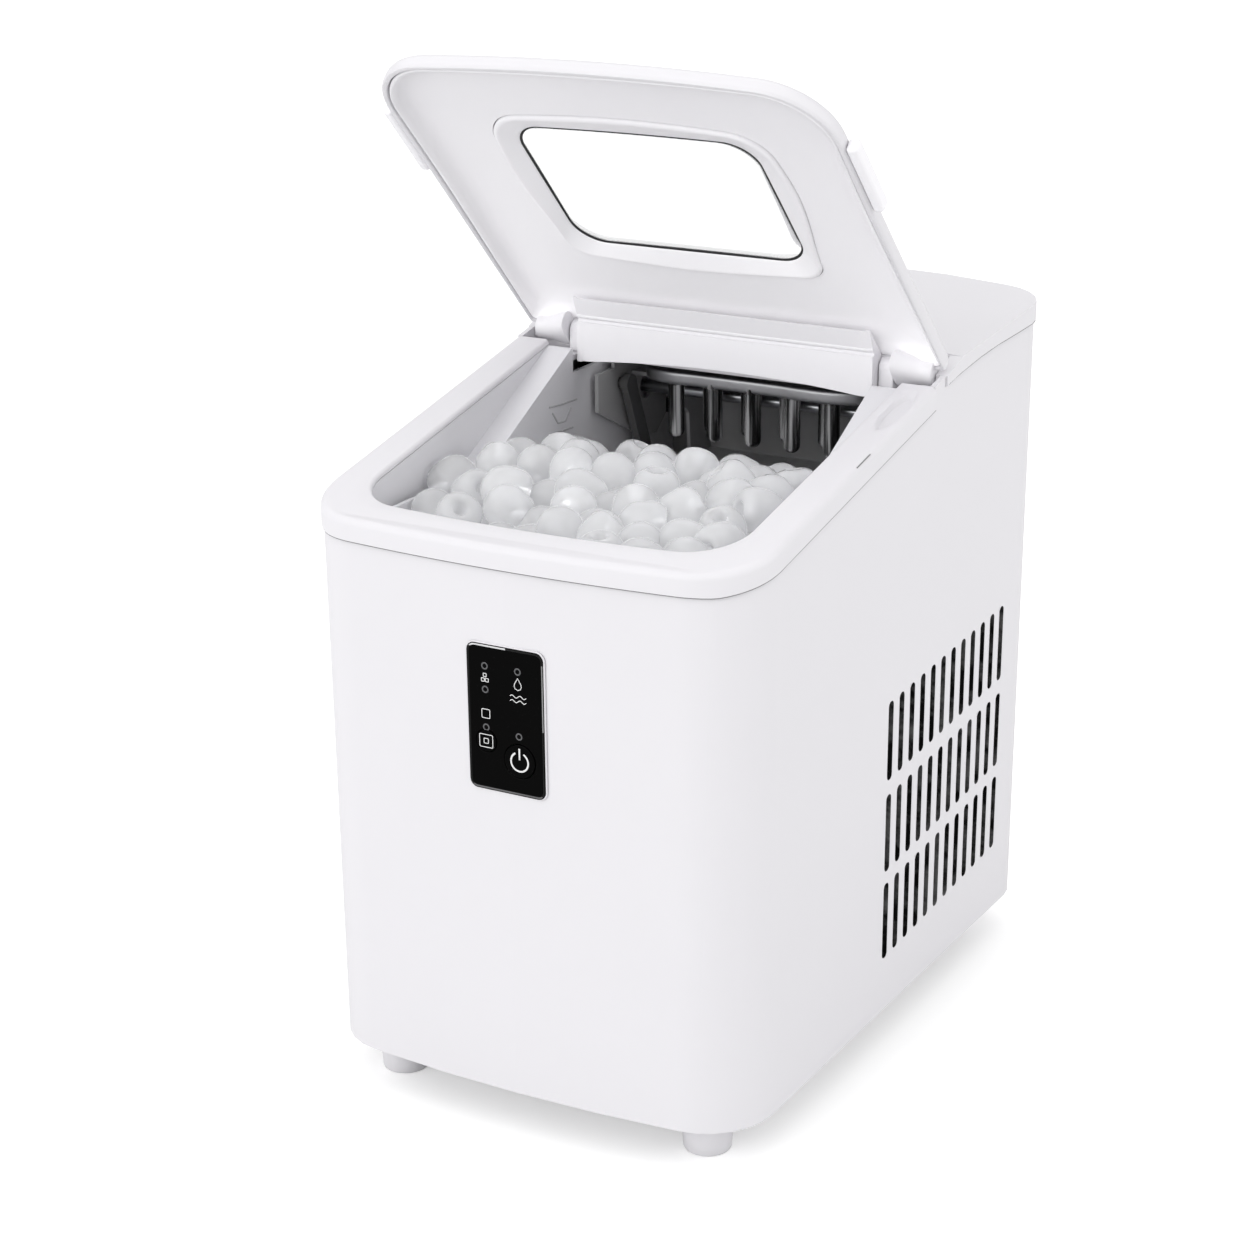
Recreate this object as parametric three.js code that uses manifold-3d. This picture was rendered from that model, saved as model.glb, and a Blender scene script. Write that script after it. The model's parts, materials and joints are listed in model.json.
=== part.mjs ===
// Countertop ice maker. A moulded casing with a sloping, open-topped ice chamber and a hinged
// window lid; inside are a finger evaporator, a tipping water tray with a coupled shovel, a
// lift-out basket, and the refrigeration plant underneath.
// Millimetres, +Z up, front towards -Y, standing on z = 0, centred on x = 0 and y = 0.
import * as THREE from 'three';
import { mergeVertices } from 'three/addons/utils/BufferGeometryUtils.js';
import Module from 'manifold-3d';

const wasm = await Module();
wasm.setup();

// driving sizes
const fit = 0.3; // gap left between pieces that only touch
const far = 400; // longer than the whole machine, for cutting right through
const casingWall = 2.5;
const proud = 1; // how far the rim and rear cover stand out past the shell
const footHeight = 20;
const bodyPlan = { halfWidth: 110, frontY: -163, rearY: 163, bow: 8, frontRadius: 33, rearRadius: 22 };

// the sloping top of the front part, and the nearly level top of the rear part
const slope = 0.212;
const slopeStartY = -154;
const shellFrontZ = 266;
const rimBand = 10.2;
const rimEndY = 28;
const coverFrontY = 39.5;
const coverSeamZ = 312.4;
const coverRise = 0.085;
const coverBand = 9.2;
const coverCrown = 5; // how much higher the rear cover is in the middle than at its sides

// the mouth of the ice chamber and the chamber below it
const mouthPlan = {
  halfWidth: bodyPlan.halfWidth - 17.5,
  frontY: -143.5,
  rearY: 60,
  bow: 4.5,
  frontRadius: 26,
  rearRadius: 0,
};
const cheek = { halfWidth: mouthPlan.halfWidth - 13.5, footY: -50, footZ: 272, rise: 0.52 };
const tubWall = 2.5;
const reservoirZ = 126;
const chamberRearY = 129;
const chamberTopZ = 300;

// the lid: turned about the hinge line, leaning forward when it stands open
const hinge = { y: 41, pinRadius: 2.5, openAngle: 45.5 };
const lidPlan = {
  halfWidth: bodyPlan.halfWidth - fit,
  frontY: -200,
  rearY: -1.5,
  bow: 7,
  frontRadius: 32,
  rearRadius: 0,
};
const lidHeight = 9;
const glazing = { width: 118, height: 85, radius: 15, centreY: -105.5, thickness: 2.2 };

// the ice works
const fingerRadius = 4;
const fingerPitch = 21;
const fingerTipZ = 264.5;
const headerZ = 295;
const headerRadius = 3.5;
const fingerRowsY = [64, 80];
const trayPivot = { y: 92, z: 280.5 };
const trayTip = 95; // degrees between freezing and tipped; the tray rests tipped
const shovelPivot = { y: 66, z: 287.5 };
const shovelBack = 22; // degrees behind vertical at rest
const shovelReach = 60;

// shape helpers
const radians = THREE.MathUtils.degToRad;

// a closed mesh as a solid that can be joined and cut
function solidOf(geometry) {
  const bare = geometry.clone();
  bare.deleteAttribute('normal');
  bare.deleteAttribute('uv');
  const merged = mergeVertices(bare, 1e-4);
  const index = merged.index.array;
  const kept = [];
  for (let i = 0; i < index.length; i += 3) {
    const [a, b, c] = [index[i], index[i + 1], index[i + 2]];
    if (a !== b && b !== c && c !== a) kept.push(a, b, c);
  }
  const vertProperties = new Float32Array(merged.attributes.position.array);
  return new wasm.Manifold(new wasm.Mesh({ numProp: 3, vertProperties, triVerts: new Uint32Array(kept) }));
}

function geometryOf(solid) {
  const mesh = solid.getMesh();
  const geometry = new THREE.BufferGeometry();
  geometry.setAttribute('position', new THREE.BufferAttribute(new Float32Array(mesh.vertProperties), 3));
  geometry.setIndex(new THREE.BufferAttribute(new Uint32Array(mesh.triVerts), 1));
  return geometry;
}

const joined = (solids) => solids.reduce((a, b) => a.add(b));

// points on an arc about (cx, cy), ends included
function arc(cx, cy, radius, from, to, step = 14) {
  const count = Math.max(1, Math.ceil(Math.abs(to - from) / radians(step)));
  return Array.from({ length: count + 1 }, (_, i) => {
    const angle = from + ((to - from) * i) / count;
    return new THREE.Vector2(cx + radius * Math.cos(angle), cy + radius * Math.sin(angle));
  });
}

// bow-fronted plan outline, grown outwards by an offset, drawn counter-clockwise
function bowedOutline({ halfWidth, frontY, rearY, bow, frontRadius, rearRadius }, grow = 0) {
  const bowRadius = (halfWidth ** 2 + bow ** 2) / (2 * bow);
  const bowY = frontY + bowRadius;
  const cornerX = halfWidth - frontRadius;
  const cornerY = bowY - Math.sqrt((bowRadius - frontRadius) ** 2 - cornerX ** 2);
  const tangent = Math.atan2(cornerY - bowY, cornerX);
  const rearX = halfWidth - rearRadius;
  const rearCornerY = rearY - rearRadius;
  const rear = (side, from, to) =>
    rearRadius > 0
      ? arc(side * rearX, rearCornerY, rearRadius + grow, from, to, 22)
      : [new THREE.Vector2(side * (halfWidth + grow), rearY + grow)];
  return [
    ...arc(0, bowY, bowRadius + grow, -Math.PI - tangent, tangent, 4),
    ...arc(cornerX, cornerY, frontRadius + grow, tangent, 0),
    ...rear(1, 0, Math.PI / 2),
    ...rear(-1, Math.PI / 2, Math.PI),
    ...arc(-cornerX, cornerY, frontRadius + grow, Math.PI, Math.PI - tangent),
  ];
}

function roundedRectangle(width, height, radius, centreX = 0, centreY = 0) {
  const [x, y] = [width / 2 - radius, height / 2 - radius];
  const quarter = Math.PI / 2;
  return [[x, -y, -1], [x, y, 0], [-x, y, 1], [-x, -y, 2]].flatMap(([cx, cy, turn]) =>
    arc(centreX + cx, centreY + cy, radius, turn * quarter, (turn + 1) * quarter, 23));
}

function extrude(points, depth) {
  const shape = new THREE.Shape(points.map((p) => (Array.isArray(p) ? new THREE.Vector2(...p) : p)));
  return new THREE.ExtrudeGeometry(shape, { depth, bevelEnabled: false });
}

// (x, y) outline raised from z0 to z1
const prismZ = (points, z0, z1) => solidOf(extrude(points, z1 - z0).translate(0, 0, z0));

// (y, z) outline carried from x0 to x1
function prismX(points, x0, x1) {
  const turn = new THREE.Matrix4().makeBasis(
    new THREE.Vector3(0, 1, 0), new THREE.Vector3(0, 0, 1), new THREE.Vector3(1, 0, 0));
  return solidOf(extrude(points, x1 - x0).applyMatrix4(turn).translate(x0, 0, 0));
}

// (x, z) outline carried from y0 to y1
const prismY = (points, y0, y1) =>
  solidOf(extrude(points, y1 - y0).rotateX(Math.PI / 2).translate(0, y1, 0));

function box(x0, x1, y0, y1, z0, z1) {
  const geometry = new THREE.BoxGeometry(x1 - x0, y1 - y0, z1 - z0);
  return solidOf(geometry.translate((x0 + x1) / 2, (y0 + y1) / 2, (z0 + z1) / 2));
}

// round bar along x, y or z; the two other coordinates place it
function rodX(x0, x1, y, z, radius, sides = 12) {
  const geometry = new THREE.CylinderGeometry(radius, radius, x1 - x0, sides);
  return solidOf(geometry.rotateZ(Math.PI / 2).translate((x0 + x1) / 2, y, z));
}

function rodY(y0, y1, x, z, radius, sides = 16) {
  return solidOf(new THREE.CylinderGeometry(radius, radius, y1 - y0, sides).translate(x, (y0 + y1) / 2, z));
}

function rodZ(z0, z1, x, y, radius, sides = 16) {
  const geometry = new THREE.CylinderGeometry(radius, radius, z1 - z0, sides);
  return solidOf(geometry.rotateX(Math.PI / 2).translate(x, y, (z0 + z1) / 2));
}

// [radius, z] profile turned about the z axis
function turned(profile, sides, x = 0, y = 0) {
  const points = profile.map(([r, z]) => new THREE.Vector2(r, z));
  return solidOf(new THREE.LatheGeometry(points, sides).rotateX(Math.PI / 2).translate(x, y, 0));
}

// round pipe along a smooth curve
function pipe(points, radius, steps, sides = 8) {
  const path = new THREE.CatmullRomCurve3(points.map((p) => new THREE.Vector3(...p)), false, 'centripetal');
  const ring = arc(0, 0, radius, 0, 2 * Math.PI * (1 - 1 / sides), 360 / sides);
  return solidOf(new THREE.ExtrudeGeometry(new THREE.Shape(ring), { steps, extrudePath: path }));
}

// the near and outer x of something at one side, in rising order
const between = (side, near, outer) => (side > 0 ? [near, outer] : [-outer, -near]);

const rimSeamZ = (y) => shellFrontZ + slope * Math.max(0, y - slopeStartY);
const rimTopZ = (y) => rimSeamZ(y) + rimBand;
const coverSeam = (y) => coverSeamZ + coverRise * (y - coverFrontY);
const hingeZ = rimTopZ(hinge.y) + fit;

// assembly
const machine = new THREE.Group();
const lid = new THREE.Group();
lid.position.set(0, hinge.y, hingeZ);
lid.rotation.x = -radians(hinge.openAngle);
const tray = new THREE.Group();
tray.position.set(0, trayPivot.y, trayPivot.z);
tray.rotation.x = radians(trayTip);
const shovel = new THREE.Group();
shovel.position.set(0, shovelPivot.y, shovelPivot.z);
shovel.rotation.x = radians(shovelBack);
machine.add(lid, tray, shovel);

const finishes = {
  white: { color: 0xeeedf0, roughness: 0.38, metalness: 0 },
  liner: { color: 0xd6d6da, roughness: 0.5, metalness: 0 },
  clear: { color: 0xf2f5f6, roughness: 0.05, metalness: 0, transparent: true, opacity: 0.35 },
  gloss: { color: 0x0d0d0c, roughness: 0.12, metalness: 0 },
  black: { color: 0x1b1b1c, roughness: 0.5, metalness: 0 },
  board: { color: 0x1f5a3a, roughness: 0.6, metalness: 0 },
  chrome: { color: 0xc9c9cc, roughness: 0.15, metalness: 1 },
  steel: { color: 0x9a9ca0, roughness: 0.35, metalness: 1 },
  copper: { color: 0xb8734a, roughness: 0.35, metalness: 1 },
  foam: { color: 0xe9e6dc, roughness: 0.95, metalness: 0 },
  rubber: { color: 0x2a2a2b, roughness: 0.9, metalness: 0 },
  enamel: { color: 0x18181a, roughness: 0.35, metalness: 0 },
  alloy: { color: 0xb4b6ba, roughness: 0.4, metalness: 1 },
  foot: { color: 0xdcdbde, roughness: 0.6, metalness: 0 },
};

function addPiece(name, solid, finish, group = machine) {
  const mesh = new THREE.Mesh(geometryOf(solid), new THREE.MeshStandardMaterial(finishes[finish]));
  mesh.name = name;
  group.add(mesh);
}

// control panel sizes
const panel = { width: 38.4, height: 66.6, radius: 4, middleZ: 198.9, frontY: -163.5, thickness: 2.4 };
const powerKey = { x: 6.4, z: 181.6, radius: 7.6 };
const sizeKey = { x: -10.2, z: 188.2, radius: 5 };
const keyProud = 0.2;
const board = { width: 38, height: 65, frontY: -157.2, thickness: 1.6 };
const housing = { wall: 4.7, frontY: -159.2, rearY: -153 };

// casing
const vent = {
  width: 5.5,
  pitch: 11.8,
  columns: 12,
  middleY: 55,
  rise: 0.057,
  rowBottoms: [51.3, 96.2, 142.2],
  rowHeight: 38.7,
};
const rearOpening = { halfWidth: bodyPlan.halfWidth - 24, lap: 8 };
const rearVent = { width: 5, pitch: 12, columns: 11, rowBottoms: [104, 152, 200], rowHeight: 38 };
const drain = { y: -106, z: 44, capRadius: 9, stemRadius: 5 };
const inlet = { x: -rearOpening.halfWidth + 30, z: footHeight + 34, width: 30, height: 24, depth: 18 };

function makeShell() {
  const outside = prismZ(bowedOutline(bodyPlan), footHeight, far);
  const inside = prismZ(bowedOutline(bodyPlan, -casingWall), 0, far);
  const tabEndY = rimEndY + fit;
  const sideProfile = [
    [-far, footHeight], [far, footHeight], [far, coverSeam(far)], [coverFrontY, coverSeamZ],
    [coverFrontY, rimTopZ(coverFrontY)], [tabEndY, rimTopZ(tabEndY)], [tabEndY, rimSeamZ(tabEndY) - fit],
    [slopeStartY, shellFrontZ - fit], [-far, shellFrontZ - fit],
  ];
  let shell = outside.subtract(inside).intersect(prismX(sideProfile, -far, far));
  const { halfWidth, lap } = rearOpening;
  const innerRearY = bodyPlan.rearY - casingWall;
  shell = shell.subtract(box(-halfWidth, halfWidth, innerRearY - 1, far, 0, far));
  const flangeTop = coverSeamZ - 18;
  const flangeBottom = footHeight + 14;
  for (const side of [-1, 1]) {
    const [x0, x1] = between(side, halfWidth - lap, halfWidth + 6);
    const flange = box(x0, x1, innerRearY - casingWall - fit, innerRearY - fit, flangeBottom, flangeTop);
    const [w0, w1] = between(side, halfWidth + 0.5, halfWidth + 6);
    const web = box(w0, w1, innerRearY - casingWall - fit, innerRearY + 1, flangeBottom, flangeTop);
    shell = shell.add(flange.add(web));
  }
  const cuts = [];
  for (const side of [-1, 1]) {
    const [x0, x1] = between(side, bodyPlan.halfWidth - casingWall - 2, bodyPlan.halfWidth + 2);
    for (const rowBottom of vent.rowBottoms) {
      for (let column = 0; column < vent.columns; column += 1) {
        const y = vent.middleY + (column - (vent.columns - 1) / 2) * vent.pitch;
        const [y0, y1] = [y - vent.width / 2, y + vent.width / 2];
        const bottom = rowBottom + vent.rise * (y - vent.middleY);
        cuts.push(box(x0, x1, y0, y1, bottom, bottom + vent.rowHeight));
      }
    }
  }
  const [windowWidth, windowHeight] = [panel.width + 2 * fit, panel.height + 2 * fit];
  const window = roundedRectangle(windowWidth, windowHeight, panel.radius, 0, panel.middleZ);
  cuts.push(prismY(window, -far, housing.rearY));
  cuts.push(rodX(-far, -bodyPlan.halfWidth + 20, drain.y, drain.z, drain.capRadius + fit));
  return shell.subtract(joined(cuts));
}

function makeRim() {
  const rimProfile = [
    [-far, shellFrontZ], [slopeStartY, shellFrontZ], [rimEndY, rimSeamZ(rimEndY)],
    [rimEndY, rimTopZ(rimEndY)], [slopeStartY, rimTopZ(slopeStartY)], [-far, rimTopZ(-far)],
  ];
  const underProfile = [
    [-far, 0], [far, 0], [far, rimTopZ(far) - casingWall], [slopeStartY, rimTopZ(slopeStartY) - casingWall],
    [-far, rimTopZ(-far) - casingWall],
  ];
  const outside = prismZ(bowedOutline(bodyPlan, proud), 0, far).intersect(prismX(rimProfile, -far, far));
  const under = prismZ(bowedOutline(bodyPlan, -casingWall), 0, far)
    .intersect(prismX(underProfile, -far, far));
  return outside.subtract(under).subtract(prismZ(bowedOutline(mouthPlan), 0, far));
}

const trough = {
  halfWidth: bodyPlan.halfWidth - 5,
  rearY: hinge.y + 14.5,
  floorZ: hingeZ - 9.6,
  floorThickness: 2.5,
  innerX: cheek.halfWidth + 2 * fit,
  wallBottomZ: chamberTopZ + 1,
};

// everything under the rear cover's crowned top, from y0 to y1, the top lowered by drop
function underCrown(y0, y1, drop) {
  const half = bodyPlan.halfWidth + proud;
  const sideZ = coverSeamZ + coverBand - drop;
  const crownRadius = (half ** 2 + coverCrown ** 2) / (2 * coverCrown);
  const swing = Math.asin(half / crownRadius);
  const centreZ = sideZ + coverCrown - crownRadius;
  const top = arc(0, centreZ, crownRadius, Math.PI / 2 - swing, Math.PI / 2 + swing, 3);
  const outline = [new THREE.Vector2(-half, 0), new THREE.Vector2(half, 0), ...top];
  const lean = new THREE.Matrix4().makeShear(0, 0, 0, coverRise, 0, 0);
  const block = extrude(outline, y1 - y0).rotateX(Math.PI / 2).translate(0, y1, 0);
  return solidOf(block.applyMatrix4(lean).translate(0, 0, -coverRise * coverFrontY));
}

function makeRearCover() {
  const top = (y) => coverSeam(y) + coverBand;
  const frontY = coverFrontY + fit;
  const flank = [
    [frontY, coverSeam(frontY) + fit], [far, coverSeam(far) + fit], [far, far],
    [trough.rearY + 0.6, far], [trough.rearY + 0.6, top(trough.rearY)], [frontY, rimTopZ(frontY)],
  ];
  const wallRearY = trough.rearY + casingWall;
  let cover = prismZ(bowedOutline(bodyPlan, proud), 0, far)
    .intersect(underCrown(0, far, 0))
    .intersect(prismX(flank, -far, far));
  cover = cover.subtract(prismZ(bowedOutline(bodyPlan, -casingWall), 0, far)
    .intersect(underCrown(wallRearY, far, casingWall)));
  cover = cover.subtract(box(-trough.halfWidth, trough.halfWidth, -far, trough.rearY, 0, far));
  const innerX = bodyPlan.halfWidth - casingWall - fit;
  const floorBottom = trough.floorZ - trough.floorThickness;
  const floorFrontY = rimEndY + 0.5;
  cover = cover.add(box(-innerX, innerX, trough.rearY, wallRearY, trough.wallBottomZ, top(trough.rearY) - 1));
  for (const side of [-1, 1]) {
    const [x0, x1] = between(side, trough.innerX, innerX);
    cover = cover.add(box(x0, x1, floorFrontY, wallRearY, floorBottom, trough.floorZ));
  }
  return cover;
}

function makeRearPanel() {
  const { halfWidth } = rearOpening;
  const innerY = bodyPlan.rearY - casingWall;
  const topZ = coverSeam(bodyPlan.rearY);
  let rear = box(-halfWidth + fit, halfWidth - fit, innerY, bodyPlan.rearY, footHeight, topZ);
  for (const rowBottom of rearVent.rowBottoms) {
    for (let column = 0; column < rearVent.columns; column += 1) {
      const x = (column - (rearVent.columns - 1) / 2) * rearVent.pitch;
      const [x0, x1] = [x - rearVent.width / 2, x + rearVent.width / 2];
      rear = rear.subtract(box(x0, x1, innerY - 1, far, rowBottom, rowBottom + rearVent.rowHeight));
    }
  }
  const socket = roundedRectangle(inlet.width + 2 * fit, inlet.height + 2 * fit, 3, inlet.x, inlet.z);
  return rear.subtract(prismY(socket, innerY - 1, far));
}

const baseTop = footHeight + 3;

function makeBase() {
  const inset = casingWall + fit;
  const rimHeight = 11.5;
  const outline = { ...bodyPlan, rearY: bodyPlan.rearY - fit };
  const slab = prismZ(bowedOutline(outline, -inset), footHeight, footHeight + rimHeight);
  return slab.subtract(prismZ(bowedOutline(outline, -inset - 2), baseTop, far));
}

const foot = {
  topRadius: 12,
  bottomRadius: 11,
  x: bodyPlan.halfWidth - 29,
  frontY: bodyPlan.frontY + 30.5,
  rearY: bodyPlan.rearY - 27,
};

function makeFoot(x, y) {
  const top = footHeight - fit;
  const edge = 1.2;
  const profile = [
    [0, 0], [foot.bottomRadius - edge, 0], [foot.bottomRadius, edge], [foot.topRadius, top], [0, top],
  ];
  return turned(profile, 20, x, y);
}

addPiece('outer_shell', makeShell(), 'white');
addPiece('top_rim', makeRim(), 'white');
addPiece('rear_top_cover', makeRearCover(), 'white');
addPiece('rear_panel', makeRearPanel(), 'white');
addPiece('base_tray', makeBase(), 'white');
for (const [place, x, y] of [
  ['front_left', -foot.x, foot.frontY], ['front_right', foot.x, foot.frontY],
  ['rear_left', -foot.x, foot.rearY], ['rear_right', foot.x, foot.rearY],
]) addPiece(`foot_${place}`, makeFoot(x, y), 'foot');

// control panel
function makeLens() {
  const outline = roundedRectangle(panel.width, panel.height, panel.radius, 0, panel.middleZ);
  const rearY = panel.frontY + panel.thickness;
  return prismY(outline, panel.frontY, rearY)
    .subtract(rodY(panel.frontY - 1, rearY + 1, powerKey.x, powerKey.z, powerKey.radius + fit, 24))
    .subtract(rodY(panel.frontY - 1, rearY + 1, sizeKey.x, sizeKey.z, sizeKey.radius + fit, 20));
}

const keyTravel = 0.5;
const keyRearY = board.frontY - keyTravel - fit;
const makeKey = (key, sides) => rodY(panel.frontY - keyProud, keyRearY, key.x, key.z, key.radius, sides);

function makeHousing() {
  const [width, height] = [board.width + 2 * fit, board.height + 2 * fit];
  const pocketRearY = board.frontY + board.thickness + fit;
  const outer = roundedRectangle(width + 2 * housing.wall, height + 2 * housing.wall, 3, 0, panel.middleZ);
  const [bottom, top] = [panel.middleZ - height / 2, panel.middleZ + height / 2];
  const pocket = box(-width / 2, width / 2, -far, pocketRearY, bottom, top);
  return prismY(outer, housing.frontY, housing.rearY).subtract(pocket);
}

addPiece('control_lens', makeLens(), 'gloss');
addPiece('power_key', makeKey(powerKey, 22), 'gloss');
addPiece('size_key', makeKey(sizeKey, 18), 'gloss');
addPiece('panel_housing', makeHousing(), 'black');
addPiece('control_board', box(-board.width / 2, board.width / 2, board.frontY, board.frontY + board.thickness,
  panel.middleZ - board.height / 2, panel.middleZ + board.height / 2), 'board');

// lid, drawn flat about its hinge line
const lidSkin = 2.5;
const linerBottom = 4;
const linerThickness = 1.8;
const barTop = linerBottom - fit;
const frameNeck = { width: glazing.width + 9, height: glazing.height + 9, radius: glazing.radius + 3 };

const windowOutline = (grow) => roundedRectangle(
  glazing.width + 2 * grow, glazing.height + 2 * grow, glazing.radius + grow, 0, glazing.centreY);

function makeLidCover() {
  const under = lidHeight - lidSkin;
  const notchX = lidPlan.halfWidth - 3.5;
  return prismZ(bowedOutline(lidPlan), 0, lidHeight)
    .subtract(prismZ(bowedOutline(lidPlan, -lidSkin), -1, under))
    .subtract(prismZ(windowOutline(2.5), under - 1, lidHeight + 1))
    .subtract(box(-notchX, notchX, -12, 0, -1, under - 0.5));
}

function makeLidLiner() {
  const outline = bowedOutline(lidPlan, -lidSkin - fit);
  const plate = prismZ(outline, linerBottom, linerBottom + linerThickness);
  const neckHole = roundedRectangle(
    frameNeck.width + 2 * fit, frameNeck.height + 2 * fit, frameNeck.radius, 0, glazing.centreY);
  return plate.subtract(prismZ(neckHole, 0, 10)).subtract(box(-far, far, -9, 0, -1, 10));
}

function makeWindowFrame() {
  const flangeTop = linerBottom - fit;
  const flangeBottom = flangeTop - 1.6;
  const neckTop = lidHeight - lidSkin - fit;
  const neck = roundedRectangle(frameNeck.width, frameNeck.height, frameNeck.radius, 0, glazing.centreY);
  return prismZ(windowOutline(9.5), flangeBottom, flangeTop)
    .add(prismZ(neck, flangeBottom, neckTop))
    .subtract(prismZ(windowOutline(0), -1, 10));
}

// the boxed ridge that hides the hinge line: (y, z) section about the hinge
const hingeBar = {
  halfWidth: cheek.halfWidth - 1.2,
  section: [[-14.7, -0.9], [-24.3, barTop], [-4, barTop], [5.8, -3], [10.3, -8.4], [1.2, -16.6]],
};
// each end of the lid turns on a pin: a fixed bracket beside the ridge, then the lid's own knuckle
const bracket = { near: trough.innerX + 0.4, width: 5.5, radius: 5 };
const knuckle = {
  near: bracket.near + bracket.width + 2 * fit,
  outer: trough.halfWidth - 2 * fit,
  radius: 6,
  cap: 3,
};

function makeKnuckle(side) {
  const [x0, x1] = between(side, knuckle.near, knuckle.outer);
  const arm = [[2, -4.5], [-8.2, 0], [-24, fit], [-24, barTop], [-9, barTop], [-2, 4.4]];
  const [bore0, bore1] = between(side, knuckle.near - 1, knuckle.outer - knuckle.cap);
  return rodX(x0, x1, 0, 0, knuckle.radius, 20)
    .add(prismX(arm, x0, x1))
    .subtract(rodX(bore0, bore1, 0, 0, hinge.pinRadius + 0.4, 16));
}

const grip = { from: -162, to: -120, depth: 5, bottom: 0.6, top: 7.4 };

function makeGrip(side) {
  const near = lidPlan.halfWidth + fit;
  const outline = roundedRectangle(grip.depth, grip.to - grip.from, 1.6, side * (near + grip.depth / 2),
    (grip.from + grip.to) / 2);
  return prismZ(outline, grip.bottom, grip.top);
}

addPiece('lid_cover', makeLidCover(), 'white', lid);
addPiece('lid_liner', makeLidLiner(), 'white', lid);
addPiece('window_frame', makeWindowFrame(), 'white', lid);
const paneBottom = lidHeight - lidSkin;
addPiece('lid_window', prismZ(windowOutline(2.5 - fit), paneBottom, paneBottom + glazing.thickness),
  'clear', lid);
addPiece('hinge_bar', prismX(hingeBar.section, -hingeBar.halfWidth, hingeBar.halfWidth), 'white', lid);
for (const [place, side] of [['left', -1], ['right', 1]]) {
  addPiece(`lid_grip_${place}`, makeGrip(side), 'white', lid);
  addPiece(`hinge_knuckle_${place}`, makeKnuckle(side), 'white', lid);
}

function makeHingeBracket(side) {
  const [x0, x1] = between(side, bracket.near, bracket.near + bracket.width);
  const foot_ = box(x0, x1, hinge.y - bracket.radius, hinge.y + bracket.radius, trough.floorZ + fit, hingeZ);
  return foot_.add(rodX(x0, x1, hinge.y, hingeZ, bracket.radius, 20))
    .subtract(rodX(x0 - 1, x1 + 1, hinge.y, hingeZ, hinge.pinRadius + 0.2, 16));
}

for (const [place, side] of [['left', -1], ['right', 1]]) {
  const [x0, x1] = between(side, bracket.near - 0.5, knuckle.outer - knuckle.cap - fit);
  addPiece(`hinge_bracket_${place}`, makeHingeBracket(side), 'white');
  addPiece(`hinge_pin_${place}`, rodX(x0, x1, hinge.y, hingeZ, hinge.pinRadius, 12), 'steel');
}

// ice chamber
const ramp = { footY: -30, headY: 12, headZ: 204, rearFloorZ: 210 };
const ledge = { width: 8, topZ: 189.7, thickness: 5 };
const shaftRadius = 3;
const bushRadius = 6;
const shovelPin = 2.5;
const pump = { x: -40, y: 20, bottomZ: 126, topZ: 160, radius: 17, intakeZ: 140, spigotRadius: 4.5 };
const hose = { y: 119, z: 264, radius: 4 };
const cheekZ = (y, grow) => cheek.footZ + cheek.rise * (y - cheek.footY) - grow * Math.hypot(1, cheek.rise);
const chamberFloorZ = (y) =>
  ramp.headZ + ((ramp.rearFloorZ - ramp.headZ) * (y - ramp.headY)) / (chamberRearY - ramp.headY);

// the open space of the chamber, grown by the wall for its outside
function chamberSpace(grow) {
  const floor = reservoirZ - grow;
  const slantShift = 0.58 * grow;
  const frontProfile = [
    [-far, floor], [cheek.footY + grow, floor], [cheek.footY + grow, cheek.footZ - slantShift],
    [mouthPlan.rearY, cheekZ(mouthPlan.rearY, grow)], [mouthPlan.rearY, far], [-far, far],
  ];
  const rearProfile = [
    [cheek.footY - 20, floor], [ramp.footY + slantShift, floor], [ramp.headY + slantShift, ramp.headZ - grow],
    [chamberRearY + grow, ramp.rearFloorZ - grow], [chamberRearY + grow, far], [cheek.footY - 20, far],
  ];
  const front = prismZ(bowedOutline(mouthPlan, grow), 0, far).intersect(prismX(frontProfile, -far, far));
  return front.add(prismX(rearProfile, -cheek.halfWidth - grow, cheek.halfWidth + grow));
}

function makeTub() {
  const underRim = (y) => rimTopZ(y) - casingWall - fit;
  const notchZ = headerZ - headerRadius - 3;
  const topProfile = [
    [-far, 0], [far, 0], [far, notchZ], [chamberRearY - 5, notchZ], [chamberRearY - 5, chamberTopZ],
    [rimEndY, chamberTopZ], [rimEndY, underRim(rimEndY)], [slopeStartY, underRim(slopeStartY)],
    [-far, underRim(-far)],
  ];
  let tub = chamberSpace(tubWall).intersect(prismX(topProfile, -far, far)).subtract(chamberSpace(0));
  for (const side of [-1, 1]) {
    const [x0, x1] = between(side, mouthPlan.halfWidth - ledge.width, mouthPlan.halfWidth + 1);
    tub = tub.add(box(x0, x1, -118, -64, ledge.topZ - ledge.thickness, ledge.topZ));
  }
  return tub
    .subtract(rodX(-far, 0, trayPivot.y, trayPivot.z, shaftRadius + 0.6))
    .subtract(rodX(0, far, trayPivot.y, trayPivot.z, bushRadius + fit, 20))
    .subtract(rodX(-far, far, shovelPivot.y, shovelPivot.z, shovelPin + 0.6))
    .subtract(rodX(-far, 0, hose.y, hose.z, hose.radius + fit))
    .subtract(rodY(-40, 40, pump.x, pump.intakeZ, pump.spigotRadius + fit));
}

const basket = {
  halfWidth: mouthPlan.halfWidth - 4,
  rearHalfWidth: cheek.halfWidth - 4,
  stepY: cheek.footY - 4,
  rearY: -8,
  bottomZ: ledge.topZ + fit,
  topZ: 269,
  rearTopZ: 228,
  wall: 2,
};

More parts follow.
